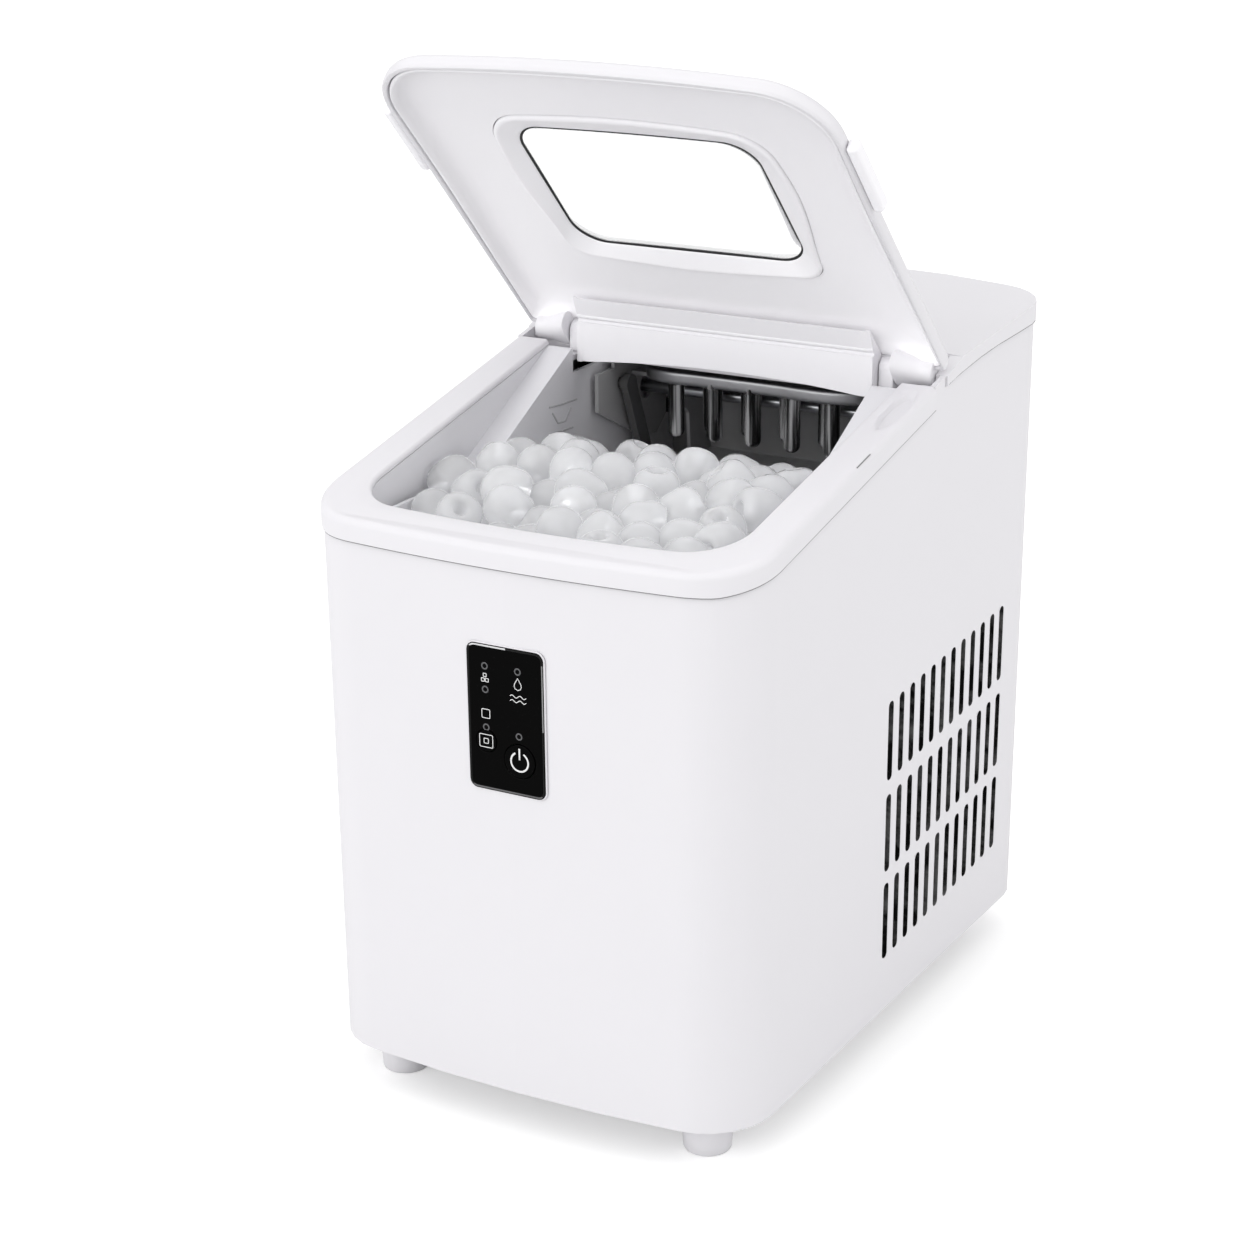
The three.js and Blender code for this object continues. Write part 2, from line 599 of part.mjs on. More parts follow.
function basketSpace(grow) {
  const plan = {
    ...mouthPlan,
    halfWidth: basket.halfWidth,
    frontY: mouthPlan.frontY + 4,
    rearY: basket.stepY,
    frontRadius: mouthPlan.frontRadius - 4,
  };
  const [bottom, half] = [basket.bottomZ - grow, basket.rearHalfWidth + grow];
  return prismZ(bowedOutline(plan, grow), bottom, far)
    .add(box(-half, half, basket.stepY - 20, basket.rearY + grow, bottom, far));
}

function makeBasket() {
  const topProfile = [[-far, 0], [far, 0], [far, basket.rearTopZ], [basket.rearY - 6, basket.rearTopZ],
    [basket.stepY, basket.topZ], [-far, basket.topZ]];
  let body = basketSpace(0).intersect(prismX(topProfile, -far, far)).subtract(basketSpace(-basket.wall));
  const slot = { width: 5, pitch: 20, count: 7 };
  for (let i = 0; i < slot.count; i += 1) {
    const x = (i - (slot.count - 1) / 2) * slot.pitch;
    const [x0, x1] = [x - slot.width / 2, x + slot.width / 2];
    body = body.subtract(box(x0, x1, -118, -24, 0, basket.bottomZ + basket.wall + 1));
  }
  return body;
}

const foam = { bottomZ: 96, topZ: 257, rearY: -38 };

function makeInsulation() {
  const jacketPlan = { ...bodyPlan, rearY: foam.rearY, rearRadius: 0 };
  const jacket = prismZ(bowedOutline(jacketPlan, -casingWall - fit), foam.bottomZ, foam.topZ);
  const behind = box(-far, far, cheek.footY + tubWall, far, reservoirZ - tubWall - fit, far);
  const seat = chamberSpace(tubWall + fit).add(behind);
  const halfHousing = board.width / 2 + housing.wall + 2 * fit;
  const halfTall = board.height / 2 + housing.wall + 2 * fit;
  const housingCut = box(-halfHousing, halfHousing, -far, housing.rearY + fit,
    panel.middleZ - halfTall, panel.middleZ + halfTall);
  return jacket.subtract(seat).subtract(housingCut).subtract(rodZ(0, far, -75, drain.y, 8));
}

addPiece('liner_tub', makeTub(), 'liner');
addPiece('ice_basket', makeBasket(), 'liner');
addPiece('tub_insulation', makeInsulation(), 'foam');

// evaporator and its supports
const header = { leftX: -58, secondX: -48, turnX: 48, endY: 138 };

function makeEvaporator() {
  const [front, rear] = fingerRowsY;
  const turnRadius = (rear - front) / 2;
  const bend = [-60, -30, 0, 30, 60].map((angle) => [
    header.turnX + turnRadius * Math.cos(radians(angle)),
    (front + rear) / 2 + turnRadius * Math.sin(radians(angle)), headerZ]);
  const route = [
    [header.leftX, header.endY, headerZ], [header.leftX, 105, headerZ], [header.leftX, front + 9, headerZ],
    [header.leftX + 2.5, front + 2.5, headerZ], [header.leftX + 9, front, headerZ], [-10, front, headerZ],
    [header.turnX - 3, front, headerZ], ...bend, [header.turnX - 3, rear, headerZ], [0, rear, headerZ],
    [header.secondX + 8, rear, headerZ], [header.secondX + 2, rear + 2, headerZ],
    [header.secondX, rear + 8, headerZ], [header.secondX, 112, headerZ],
    [header.secondX, header.endY, headerZ],
  ];
  const parts = [pipe(route, headerRadius, 48)];
  const tipRise = 3;
  const finger = [
    [0, fingerTipZ], [fingerRadius * 0.6, fingerTipZ + 0.7], [fingerRadius, fingerTipZ + tipRise],
    [fingerRadius, headerZ], [0, headerZ],
  ];
  for (let i = -2; i <= 2; i += 1) parts.push(turned(finger, 12, i * fingerPitch, front));
  for (let i = -1.5; i <= 1.5; i += 1) parts.push(turned(finger, 12, i * fingerPitch, rear));
  return joined(parts);
}

const hanger = {
  near: cheek.halfWidth - 4.5,
  thickness: 2,
  tabOuter: cheek.halfWidth + 11,
  frontY: shovelPivot.y - 22,
  tabY: shovelPivot.y - 6,
  rearY: trayPivot.y + 20,
};

function makeEvaporatorBracket(side) {
  const top = chamberTopZ + fit + 2;
  const [x0, x1] = between(side, hanger.near, hanger.near + hanger.thickness);
  const { y, z } = trayPivot;
  const outline = [
    [hanger.frontY, z + 15.5], [hanger.tabY, z + 15.5], [hanger.tabY, top], [hanger.rearY, top],
    [hanger.rearY, z - 18.5], [y + 10, z - 26.5], [y - 6, z - 24.5], [hanger.frontY, z - 3.5],
  ];
  const plate = prismX(outline, x0, x1);
  const [t0, t1] = between(side, hanger.near, hanger.tabOuter);
  const [s0, s1] = between(side, 46.5, hanger.near + hanger.thickness);
  const saddleTop = headerZ - headerRadius - fit;
  return plate
    .add(box(t0, t1, hanger.tabY, hanger.rearY, chamberTopZ + fit, top))
    .add(box(s0, s1, fingerRowsY[1] - 3, fingerRowsY[1] + 8, saddleTop - 2, saddleTop))
    .subtract(rodX(-far, far, trayPivot.y, trayPivot.z, bushRadius + 0.5, 20))
    .subtract(rodX(-far, far, shovelPivot.y, shovelPivot.z, shovelPin + 0.6));
}

function makeBackPlate() {
  const [rearY, faceY] = [chamberRearY - fit, chamberRearY - 2.3];
  const half = cheek.halfWidth - fit;
  const bottom = ramp.rearFloorZ + fit;
  let plate = box(-half, half, faceY, rearY, bottom, headerZ - headerRadius - 4);
  for (let x = -66; x <= 66; x += 12) {
    plate = plate.add(box(x - 1.5, x + 1.5, faceY - 1.7, faceY + 0.5, bottom, headerZ - headerRadius - 4));
  }
  return plate;
}

addPiece('evaporator', makeEvaporator(), 'chrome');
addPiece('evaporator_bracket_left', makeEvaporatorBracket(-1), 'black');
addPiece('evaporator_bracket_right', makeEvaporatorBracket(1), 'black');
addPiece('ribbed_back_plate', makeBackPlate(), 'black');

// water tray, drawn level about its pivot
const trayBox = { halfLength: 55, depth: 27, width: 40, brim: 4, wall: 2 };

function makeTray() {
  const { halfLength, depth, width, brim, wall } = trayBox;
  const shellBox = box(-halfLength, halfLength, -width, 0, -depth, -brim);
  const water = box(-halfLength + wall, halfLength - wall, -width + wall, -wall, -depth + wall, 0);
  let body = shellBox.subtract(water);
  for (const side of [-1, 1]) {
    const [x0, x1] = between(side, halfLength - wall, halfLength);
    const ear = prismX([[-14, -brim - 1], [-5, 4], [4, 4], [4, -8], [-1, -12], [-14, -12]], x0, x1);
    body = body.add(ear).add(rodX(x0, x1, 0, 0, 6, 16));
  }
  return body.subtract(rodX(-far, far, 0, 0, shaftRadius + fit));
}

addPiece('water_tray', makeTray(), 'black', tray);
const trayShaft = rodX(-cheek.halfWidth - 11, cheek.halfWidth + 4, 0, 0, shaftRadius, 12);
addPiece('tray_shaft', trayShaft, 'steel', tray);

const motorFace = cheek.halfWidth + tubWall + fit;

function makeTrayMotor() {
  const { y, z } = trayPivot;
  return box(-bodyPlan.halfWidth + 6, -motorFace, y - 18, y + 18, z - 18, z + 18)
    .subtract(rodX(-cheek.halfWidth - 11 - fit, 0, y, z, shaftRadius + 0.5));
}

function makeTrayBush() {
  const { y, z } = trayPivot;
  const near = cheek.halfWidth - 0.5;
  return rodX(near, motorFace + 2, y, z, bushRadius, 20)
    .add(rodX(motorFace, motorFace + 2, y, z, bushRadius + 2.5, 20))
    .subtract(rodX(near - 1, far, y, z, shaftRadius + 0.5));
}

addPiece('tray_motor', makeTrayMotor(), 'black');
addPiece('tray_bush', makeTrayBush(), 'steel');

// shovel, drawn hanging straight down
function makeShovel() {
  const arm = { near: cheek.halfWidth - 11, thickness: 4, halfWidth: 4.5 };
  const bladeTop = shovelReach - 16;
  const outer = arm.near + arm.thickness;
  const parts = [box(-outer, outer, -1.2, 1.2, -shovelReach, -bladeTop)];
  for (const side of [-1, 1]) {
    const [x0, x1] = between(side, arm.near, outer);
    parts.push(box(x0, x1, -arm.halfWidth, arm.halfWidth, -shovelReach + 1, 0));
    parts.push(rodX(x0, x1, 0, 0, arm.halfWidth + 0.5, 16));
    const [p0, p1] = between(side, arm.near + 1, cheek.halfWidth + tubWall - 0.5);
    parts.push(rodX(p0, p1, 0, 0, shovelPin, 12));
  }
  return joined(parts);
}

addPiece('ice_shovel', makeShovel(), 'liner', shovel);

function makeChute() {
  const half = cheek.halfWidth - fit;
  const [inner, outer] = [shovelReach + 1.2, shovelReach + 3.2];
  const at = (radius) => arc(shovelPivot.y, shovelPivot.z, radius, -radians(90 + 28), -radians(90 - 24), 9);
  const lipY = basket.rearY + 5;
  const lipZ = basket.rearTopZ + 2.5;
  const bed = [
    [lipY, lipZ], ...at(inner).map((p) => [p.x, p.y]), ...at(outer).reverse().map((p) => [p.x, p.y]),
    [lipY, lipZ - 2],
  ];
  let chute = prismX(bed, -half, half);
  for (const side of [-1, 1]) {
    const [x0, x1] = between(side, half - 2, half);
    const [y0, y1] = [ramp.headY + 3, shovelPivot.y + 25];
    chute = chute.add(prismX([[y0, chamberFloorZ(y0) + fit], [y1, chamberFloorZ(y1) + fit],
      [y1, shovelPivot.z - 57], [shovelPivot.y + 2, shovelPivot.z - 62], [y0, shovelPivot.z - 57]], x0, x1));
  }
  for (let x = -54; x <= 54; x += 18) {
    const [y0, y1] = [shovelPivot.y - 18, shovelPivot.y + 18];
    chute = chute.subtract(box(x - 2.5, x + 2.5, y0, y1, 0, shovelPivot.z - 48));
  }
  return chute;
}

addPiece('ice_chute', makeChute(), 'liner');

for (const [place, side] of [['left', -1], ['right', 1]]) {
  const [x0, x1] = between(side, cheek.halfWidth + tubWall + fit, cheek.halfWidth + tubWall + 7);
  addPiece(`ice_sensor_${place}`, box(x0, x1, -2, 12, 262, 276), 'black');
}

// water circuit
function makePump() {
  const { x, y, bottomZ, topZ, radius, intakeZ } = pump;
  return rodZ(bottomZ, topZ, x, y, radius, 20)
    .add(rodZ(baseTop + fit, bottomZ + 1, x, y, 6, 12))
    .add(rodY(-27, y, x, intakeZ, pump.spigotRadius, 12))
    .add(rodZ(topZ - 1, topZ + 8, x, y, 3.5, 12));
}

// the hose climbs between the chamber's wall and the casing
const hoseX = -(cheek.halfWidth + tubWall + bodyPlan.halfWidth - casingWall) / 2;
const hoseRoute = [
  [pump.x, pump.y, pump.topZ + 8 + fit], [pump.x, pump.y, pump.topZ + 11],
  [pump.x - 8, pump.y, pump.topZ + 24],
  [hoseX + 32, 22, 190], [hoseX + 14, 27, 192], [hoseX + 3, 36, 202], [hoseX, 52, 216], [hoseX, 78, 232],
  [hoseX + 2, hose.y - 21, hose.z - 20], [hoseX + 4, hose.y - 7, hose.z - 10],
  [hoseX + 6, hose.y, hose.z - 3],
  [hoseX + 10, hose.y, hose.z], [hoseX + 14, hose.y, hose.z], [-cheek.halfWidth + 4, hose.y, hose.z],
];

const drainSocketX = -bodyPlan.halfWidth + casingWall + fit;

function makeDrainFitting() {
  const { y, z, stemRadius } = drain;
  const elbowX = -75;
  return rodX(drainSocketX, elbowX, y, z, stemRadius + 2.5)
    .add(rodZ(z, reservoirZ - tubWall - fit, elbowX, y, stemRadius + 1.5, 12))
    .add(rodZ(baseTop + fit, z + 1, elbowX, y, stemRadius, 12))
    .subtract(rodX(-far, drainSocketX + 14, y, z, stemRadius + fit));
}

function makeDrainPlug() {
  const { y, z, capRadius, stemRadius } = drain;
  const outerX = -bodyPlan.halfWidth - 0.8;
  return rodX(outerX, outerX + 2.4, y, z, capRadius, 20)
    .add(rodX(outerX + 1, drainSocketX + 12, y, z, stemRadius, 16))
    .add(box(outerX, outerX + 1, y - 1.5, y + 1.5, z - 6, z + 6));
}

addPiece('water_pump', makePump(), 'black');
addPiece('pump_hose', pipe(hoseRoute, hose.radius, 22), 'rubber');
addPiece('drain_fitting', makeDrainFitting(), 'black');
addPiece('drain_plug', makeDrainPlug(), 'white');

// refrigeration plant
const compressor = { x: -46, y: 92, radius: 43, bottomZ: 29, topZ: 138 };
const stub = { radius: 3.5, topZ: 146, suction: [-36, 103], discharge: [-24, 81] };

function makeCompressor() {
  const { x, y, radius, bottomZ, topZ } = compressor;
  const shoulder = 16;
  const profile = [
    [0, bottomZ + 3], [radius * 0.72, bottomZ + 3], [radius * 0.95, bottomZ + 10], [radius, bottomZ + 20],
    [radius, topZ - 50], [radius + 1.5, topZ - 47], [radius, topZ - 44], [radius * 0.97, topZ - shoulder],
    [radius * 0.72, topZ - 4], [0, topZ],
  ];
  const plate = roundedRectangle(94, 88, 14, x, y);
  const stubs = [stub.suction, stub.discharge]
    .map(([stubX, stubY]) => rodZ(topZ - 6, stub.topZ, stubX, stubY, stub.radius, 12));
  return joined([turned(profile, 26, x, y), prismZ(plate, bottomZ, bottomZ + 4), ...stubs]);
}

const grommetSpots = [[-34, -36], [34, -36], [0, 36]];

const condenser = {
  nearX: bodyPlan.halfWidth - 27.5,
  farX: bodyPlan.halfWidth - 6.5,
  frontY: -2,
  rearY: 116,
  bottomZ: footHeight + 26,
  topZ: footHeight + 152,
};
const condenserX = (condenser.nearX + condenser.farX) / 2;
const fan = {
  y: (condenser.frontY + condenser.rearY) / 2,
  z: (condenser.bottomZ + condenser.topZ) / 2,
  radius: 48,
  nearX: condenser.nearX - 18.5,
  farX: condenser.nearX - 7.5,
  opening: 52,
};
const fanBarX = fan.nearX - 22; // rear face of the bar that carries the fan's motor

function makeCondenser() {
  const { nearX, farX, frontY, rearY, bottomZ, topZ } = condenser;
  const spine = 4;
  const finPitch = 9;
  let block = box(nearX, farX, frontY, rearY, bottomZ, topZ);
  for (let y = frontY + 3; y + 6 < rearY; y += finPitch) {
    block = block.subtract(box(nearX + spine, far, y, y + 6, 0, far));
  }
  return block;
}

function makeShroud() {
  const { frontY, rearY, topZ } = condenser;
  const plateX = condenser.nearX - fit;
  const frame = box(plateX - 3, plateX, frontY, rearY, baseTop + fit, topZ)
    .subtract(rodX(-far, far, fan.y, fan.z, fan.opening, 32));
  const legs = [frontY, rearY - 3].map((y) => box(fanBarX, plateX, y, y + 3, fan.z - 9, fan.z + 9));
  const bar = box(fanBarX - 3, fanBarX, frontY, rearY, fan.z - 9, fan.z + 9);
  return joined([frame, ...legs, bar]).subtract(rodX(-far, far, fan.y, fan.z, 6, 16));
}

function makeFanMotor() {
  return rodX(fanBarX + fit, fan.nearX - 4, fan.y, fan.z, 17, 20)
    .add(rodX(fan.nearX - 5, fan.nearX + 5, fan.y, fan.z, 2, 10));
}

const fanGroup = new THREE.Group();
fanGroup.position.set(0, fan.y, fan.z);
machine.add(fanGroup);

function makeFanBlade() {
  const middleX = (fan.nearX + fan.farX) / 2;
  const parts = [rodX(fan.nearX, fan.farX, 0, 0, 12, 20)];
  const count = 5;
  for (let i = 0; i < count; i += 1) {
    const blade = new THREE.BoxGeometry(1.6, 24, fan.radius - 10).rotateZ(radians(-62)).rotateZ(Math.PI / 2);
    blade.translate(0, 0, (fan.radius + 10) / 2);
    blade.rotateX((i * 2 * Math.PI) / count).translate(middleX, 0, 0);
    parts.push(solidOf(blade));
  }
  return joined(parts).subtract(rodX(fan.nearX - 1, fan.nearX + 6, 0, 0, 2.6, 12));
}

addPiece('compressor', makeCompressor(), 'enamel');
grommetSpots.forEach(([dx, dy], i) => addPiece(`compressor_grommet_${i + 1}`,
  rodZ(baseTop + fit, compressor.bottomZ - fit, compressor.x + dx, compressor.y + dy, 7, 14), 'rubber'));
addPiece('condenser', makeCondenser(), 'alloy');
addPiece('fan_shroud', makeShroud(), 'black');
addPiece('fan_motor', makeFanMotor(), 'black');
addPiece('fan_blade', makeFanBlade(), 'black', fanGroup);

// brazed pipework
const pipeStart = header.endY + fit;
const straight = 2;
const teeZ = stub.topZ + 8;
const [suctionX, suctionY] = stub.suction;
const [dischargeX, dischargeY] = stub.discharge;
const suctionRoute = [
  [header.secondX, pipeStart, headerZ], [header.secondX, pipeStart + straight, headerZ], [-46.5, 146, 288],
  [-45, 148.5, 270], [-42, 148.5, 200], [-40, 144, 172], [-38, 128, 160],
  [suctionX, suctionY + 5, stub.topZ + 9],
  [suctionX, suctionY, stub.topZ + fit + straight], [suctionX, suctionY, stub.topZ + fit],
];
const valveX = -bodyPlan.halfWidth + 40;
const hotGasRoute = [
  [header.leftX, pipeStart, headerZ], [header.leftX, pipeStart + straight, headerZ], [-59.5, 146, 288],
  [-64, 148, 274], [valveX, 147.5, 248], [valveX, 147.5, 216], [valveX - 1, 146, 186],
  [valveX - 1, 130, 168], [-64, 104, 158],
  [-50, 87, teeZ + 1], [dischargeX - 8, dischargeY, teeZ], [dischargeX - 5, dischargeY, teeZ],
];
const dischargeRoute = [
  [dischargeX, dischargeY, stub.topZ + fit], [dischargeX, dischargeY, teeZ], [-18, 82, 166], [4, 85, 178],
  [30, 88, 182], [condenserX - 33, 92, 185], [condenserX - 9, 96, 183], [condenserX, 98, condenser.topZ + 6],
  [condenserX, 98, condenser.topZ + 2], [condenserX, 98, condenser.topZ + fit],
];
const liquidRoute = [
  [condenserX, condenser.rearY + fit, 70], [condenserX, condenser.rearY + 2, 70], [condenserX - 3, 132, 72],
  [condenserX - 17, 144, 80], [40, 148, 100], [14, 148, 122],
  [7.2, 148, 138], [7.2, 148, 200], [2, 147, 226], [-14, 143, 250], [-34, 139, 268], [-48, 139, 274],
  [-56, 142, 276], [-59.6, 146, 276],
];

function makeHotGasValve() {
  const body = box(valveX - 10, valveX + 10, 139, 156, 212, 236);
  return pipe(hotGasRoute, 3, 22).add(body).add(rodZ(235, 250, valveX, 147.5, 7, 14));
}

function makeDischarge() {
  const tee = rodX(dischargeX - 5 + fit, dischargeX, dischargeY, teeZ, 3, 12);
  return pipe(dischargeRoute, 3, 20).add(tee);
}

function makeDrier() {
  const capsule = turned([[0, 142], [4, 144], [9, 152], [9, 188], [4, 196], [0, 198]], 16, 7.2, 148);
  return pipe(liquidRoute, 2.2, 30, 6).add(capsule);
}

addPiece('suction_pipe', pipe(suctionRoute, stub.radius, 24), 'copper');
addPiece('hot_gas_valve', makeHotGasValve(), 'copper');
addPiece('discharge_pipe', makeDischarge(), 'copper');
addPiece('filter_drier', makeDrier(), 'copper');

// mains inlet
function makeInlet() {
  const rearY = bodyPlan.rearY + proud;
  const frontY = rearY - inlet.depth;
  const blank = prismY(roundedRectangle(inlet.width, inlet.height, 3, inlet.x, inlet.z), frontY, rearY);
  const mouth = roundedRectangle(inlet.width - 9, inlet.height - 10, 5, inlet.x, inlet.z);
  const recess = prismY(mouth, frontY + 3, rearY + 1);
  const pins = [-4.3, 4.3].map((dx) => rodY(frontY + 2, rearY - 3, inlet.x + dx, inlet.z, 1.2, 10));
  return joined([blank.subtract(recess), ...pins]);
}

addPiece('power_inlet', makeInlet(), 'black');

export default machine;
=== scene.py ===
import json
import math
from functools import partialmethod

import bmesh
import bpy
import numpy as np
from mathutils import Matrix, Vector


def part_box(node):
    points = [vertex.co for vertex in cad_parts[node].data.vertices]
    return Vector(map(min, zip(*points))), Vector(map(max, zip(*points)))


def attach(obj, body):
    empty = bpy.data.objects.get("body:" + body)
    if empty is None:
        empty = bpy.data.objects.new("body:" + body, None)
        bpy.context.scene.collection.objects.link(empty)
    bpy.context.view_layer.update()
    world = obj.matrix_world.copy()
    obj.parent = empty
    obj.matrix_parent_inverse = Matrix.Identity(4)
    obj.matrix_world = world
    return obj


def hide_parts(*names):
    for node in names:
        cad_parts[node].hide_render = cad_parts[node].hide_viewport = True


# Countertop ice maker: finishes, fine shapes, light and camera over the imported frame.
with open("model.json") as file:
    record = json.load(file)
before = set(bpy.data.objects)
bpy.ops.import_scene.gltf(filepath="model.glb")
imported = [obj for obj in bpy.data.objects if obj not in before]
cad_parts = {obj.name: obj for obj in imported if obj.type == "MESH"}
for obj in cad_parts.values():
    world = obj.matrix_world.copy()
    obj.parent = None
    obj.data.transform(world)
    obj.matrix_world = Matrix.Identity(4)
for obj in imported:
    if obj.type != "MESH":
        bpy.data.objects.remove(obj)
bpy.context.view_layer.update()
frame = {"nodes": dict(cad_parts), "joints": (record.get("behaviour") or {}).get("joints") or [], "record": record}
scene = bpy.context.scene
behaviour = frame["record"]["behaviour"]
bodyOf = {node: body for body, nodes in behaviour["bodies"].items() for node in nodes}
jointAt = {joint["name"]: joint.get("pos_m") for joint in frame["joints"]}
mm = 0.001
print("frame loaded:", len(frame["nodes"]), "nodes")


# shader helpers
class Wire:  # a socket that takes part in sums
    def __init__(self, tree, socket):
        self.tree, self.socket = tree, socket

    def maths(self, operation, other):
        node = self.tree.nodes.new("ShaderNodeMath")
        node.operation = operation
        plug(self.tree, node.inputs[0], self)
        plug(self.tree, node.inputs[1], other)
        return Wire(self.tree, node.outputs[0])

    __add__ = partialmethod(maths, "ADD")
    __radd__ = partialmethod(maths, "ADD")
    __sub__ = partialmethod(maths, "SUBTRACT")
    __mul__ = partialmethod(maths, "MULTIPLY")
    __gt__ = partialmethod(maths, "GREATER_THAN")
    __lt__ = partialmethod(maths, "LESS_THAN")

    def between(self, low, high):
        return (self > low) * (self < high)


def plug(tree, socket, value):
    if isinstance(value, Wire):
        tree.links.new(value.socket, socket)
    else:
        socket.default_value = value


class Finish:  # one material: a Principled shader and the nodes that feed it
    def __init__(self, name, fixed):
        self.material = bpy.data.materials.new(name)
        self.material.use_nodes = True
        self.tree = self.material.node_tree
        self.shader = self.tree.nodes["Principled BSDF"]
        for socket, value in fixed.items():
            self.shader.inputs[socket].default_value = value

    def node(self, kind, settings, sockets, output=0):
        node = self.tree.nodes.new(kind)
        stops = settings.pop("stops", None)
        for setting, value in settings.items():
            setattr(node, setting, value)
        if stops:
            ramp = node.color_ramp
            for index, (place, tone) in enumerate(stops):
                stop = ramp.elements[index] if index < 2 else ramp.elements.new(place)
                stop.position = place
                stop.color = (tone, tone, tone, 1)
        for socket, value in sockets.items():
            plug(self.tree, node.inputs[socket], value)
        return Wire(self.tree, node.outputs[output])

    def place(self):
        return self.node("ShaderNodeTexCoord", {}, {}, "Object")

    def noise(self, scale, detail=2.0, rough=0.5, vector=None):
        sockets = {"Vector": vector or self.place(), "Scale": scale, "Detail": detail, "Roughness": rough}
        return self.node("ShaderNodeTexNoise", {}, sockets, "Fac")

    def stretched(self, scale):
        return self.node("ShaderNodeMapping", {}, {"Vector": self.place(), "Scale": scale}, "Vector")

    def axes(self):
        place = self.place()
        return [self.node("ShaderNodeSeparateXYZ", {}, {"Vector": place}, axis) for axis in "XYZ"]

    def blend(self, amount, first, second):
        first, second = [tone if isinstance(tone, Wire) else (*tone, 1) for tone in (first, second)]
        sockets = {"Factor": amount, 6: first, 7: second}
        return self.node("ShaderNodeMix", {"data_type": "RGBA"}, sockets, 2)

    def bump(self, height, strength, distance):
        sockets = {"Height": height, "Strength": strength, "Distance": distance}
        return self.node("ShaderNodeBump", {}, sockets, "Normal")

    def feed(self, socket, value):
        plug(self.tree, self.shader.inputs[socket], value)
        return self

    def tint(self, amount, first, second):
        return self.feed("Base Color", self.blend(amount, first, second))

    def press(self, height, strength, distance):
        return self.feed("Normal", self.bump(height, strength, distance)).material

    def mould(self, cloud, roughness, grain=0.12):
        # the surface of a moulding: gloss that drifts with the cloud and a fine spark-eroded grain
        self.feed("Roughness", roughness - 0.05 + cloud * 0.1)
        return self.press(self.noise(1600.0, 2.0), grain, 0.0002)


# finishes
def shade(tone, share):
    return [min(value * share, 0.98) for value in tone]


def plasticBase(name, tone, drift, shine=0.4):
    # plastic whose tone drifts faintly over a hand's width
    finish = Finish(name, {"IOR": 1.46, "Specular IOR Level": shine})
    cloud = finish.noise(14.0, 3.0)
    return finish, cloud, finish.blend(cloud, shade(tone, 1 - drift), shade(tone, 1 + drift))


def mouldedPlastic(name, tone, roughness, drift, grain=0.12, shine=0.4):
    finish, cloud, plain = plasticBase(name, tone, drift, shine)
    return finish.feed("Base Color", plain).mould(cloud, roughness, grain)


def brushedMetal(name, tone, roughness, along, drift=0.06):
    # drawn or brushed metal: fine lines along one axis in tone, gloss and height
    finish = Finish(name, {"Metallic": 1.0})
    scale = [900.0 if axis != along else 12.0 for axis in "XYZ"]
    lines = finish.noise(1.0, 3.0, 0.6, finish.stretched(scale))
    finish.tint(lines, shade(tone, 1 - drift), tone)
    finish.feed("Roughness", roughness + lines * 0.1)
    return finish.press(lines, 0.08, 0.0001)


def lidFinish():
    # the lid's lining: painted shade greys its white a little towards the free edge, and a faint painted glow
    # brings it to full by the hinge
    finish = Finish("whiteLining", {"IOR": 1.46, "Specular IOR Level": 0.4, "Emission Strength": 0.07})
    x, y, z = finish.axes()
    cloud = finish.noise(14.0, 3.0)
    outwards = (z - 0.33) * 9.0 + cloud * 0.06
    finish.tint(outwards, (0.95, 0.94, 0.96), (0.80, 0.79, 0.815))
    # painted light: the lining glows faintly by the hinge, fading to nothing towards the free edge
    finish.feed("Emission Color", finish.blend(outwards, (1.0, 0.99, 1.0), (0.0, 0.0, 0.0)))
    return finish.mould(cloud, 0.34)


def paintedReflectionFinish():
    # plated metal with painted reflections: upright streaks of dark and bright in its colour stand for the dark
    # chamber and the lights mirrored in it, and vary its gloss and height too
    finish = Finish("paintedReflectionPlate", {"Metallic": 0.7})
    paintedReflectionStreaks = finish.noise(1.0, 2.0, 0.5, finish.stretched([300.0, 300.0, 14.0]))
    stops = [(0.44, 0.012), (0.53, 0.16), (0.62, 0.75)]
    # painted reflections: the streaks set the colour from near black to bright
    finish.feed("Base Color", finish.node("ShaderNodeValToRGB", {"stops": stops}, {"Fac": paintedReflectionStreaks}))
    finish.feed("Roughness", 0.06 + paintedReflectionStreaks * 0.2)
    return finish.press(paintedReflectionStreaks, 0.2, 0.0004)


def bezelFinish():
    # the lens's polished edge: near black, with painted highlights at the top left, the upper right and the foot
    finish = Finish("panelEdge", {"IOR": 1.5, "Specular IOR Level": 0.12})
    x, y, z = finish.axes()
    topLeft = (z > 0.2304) * (x < 0.0005)
    upperRight = (x > 0.0182) * z.between(0.197, 0.2268) * 0.45
    lowEnd = (z < 0.1674) * 0.2
    paintedHighlight = topLeft + upperRight + lowEnd
    glint = finish.noise(60.0)
    plain, bright = (0.006, 0.006, 0.006), (0.7, 0.7, 0.71)
    # the painted highlights, broken up by a fine noise
    finish.tint(paintedHighlight * (0.6 + glint * 0.5), plain, bright)
    return finish.feed("Roughness", 0.3 + glint * 0.1).material


def iceFinish():
    # clear ice, unevenly clouded, with a slightly lumpy surface and a faint painted glow
    finish = Finish("clearIce", {"IOR": 1.31, "Transmission Weight": 0.68, "Specular IOR Level": 0.8,
                                 "Emission Strength": 0.04})
    cloud = finish.noise(90.0, 4.0)
    finish.tint(cloud, (0.92, 0.925, 0.94), (0.99, 0.99, 0.995))
    # painted light: a faint glow from the ice itself, following the cloud
    finish.feed("Emission Color", finish.blend(cloud, (0.78, 0.78, 0.81), (1.0, 1.0, 1.0)))
    finish.feed("Roughness", 0.01 + cloud * 0.05)
    return finish.press(finish.noise(60.0, 2.0), 0.3, 0.0012)


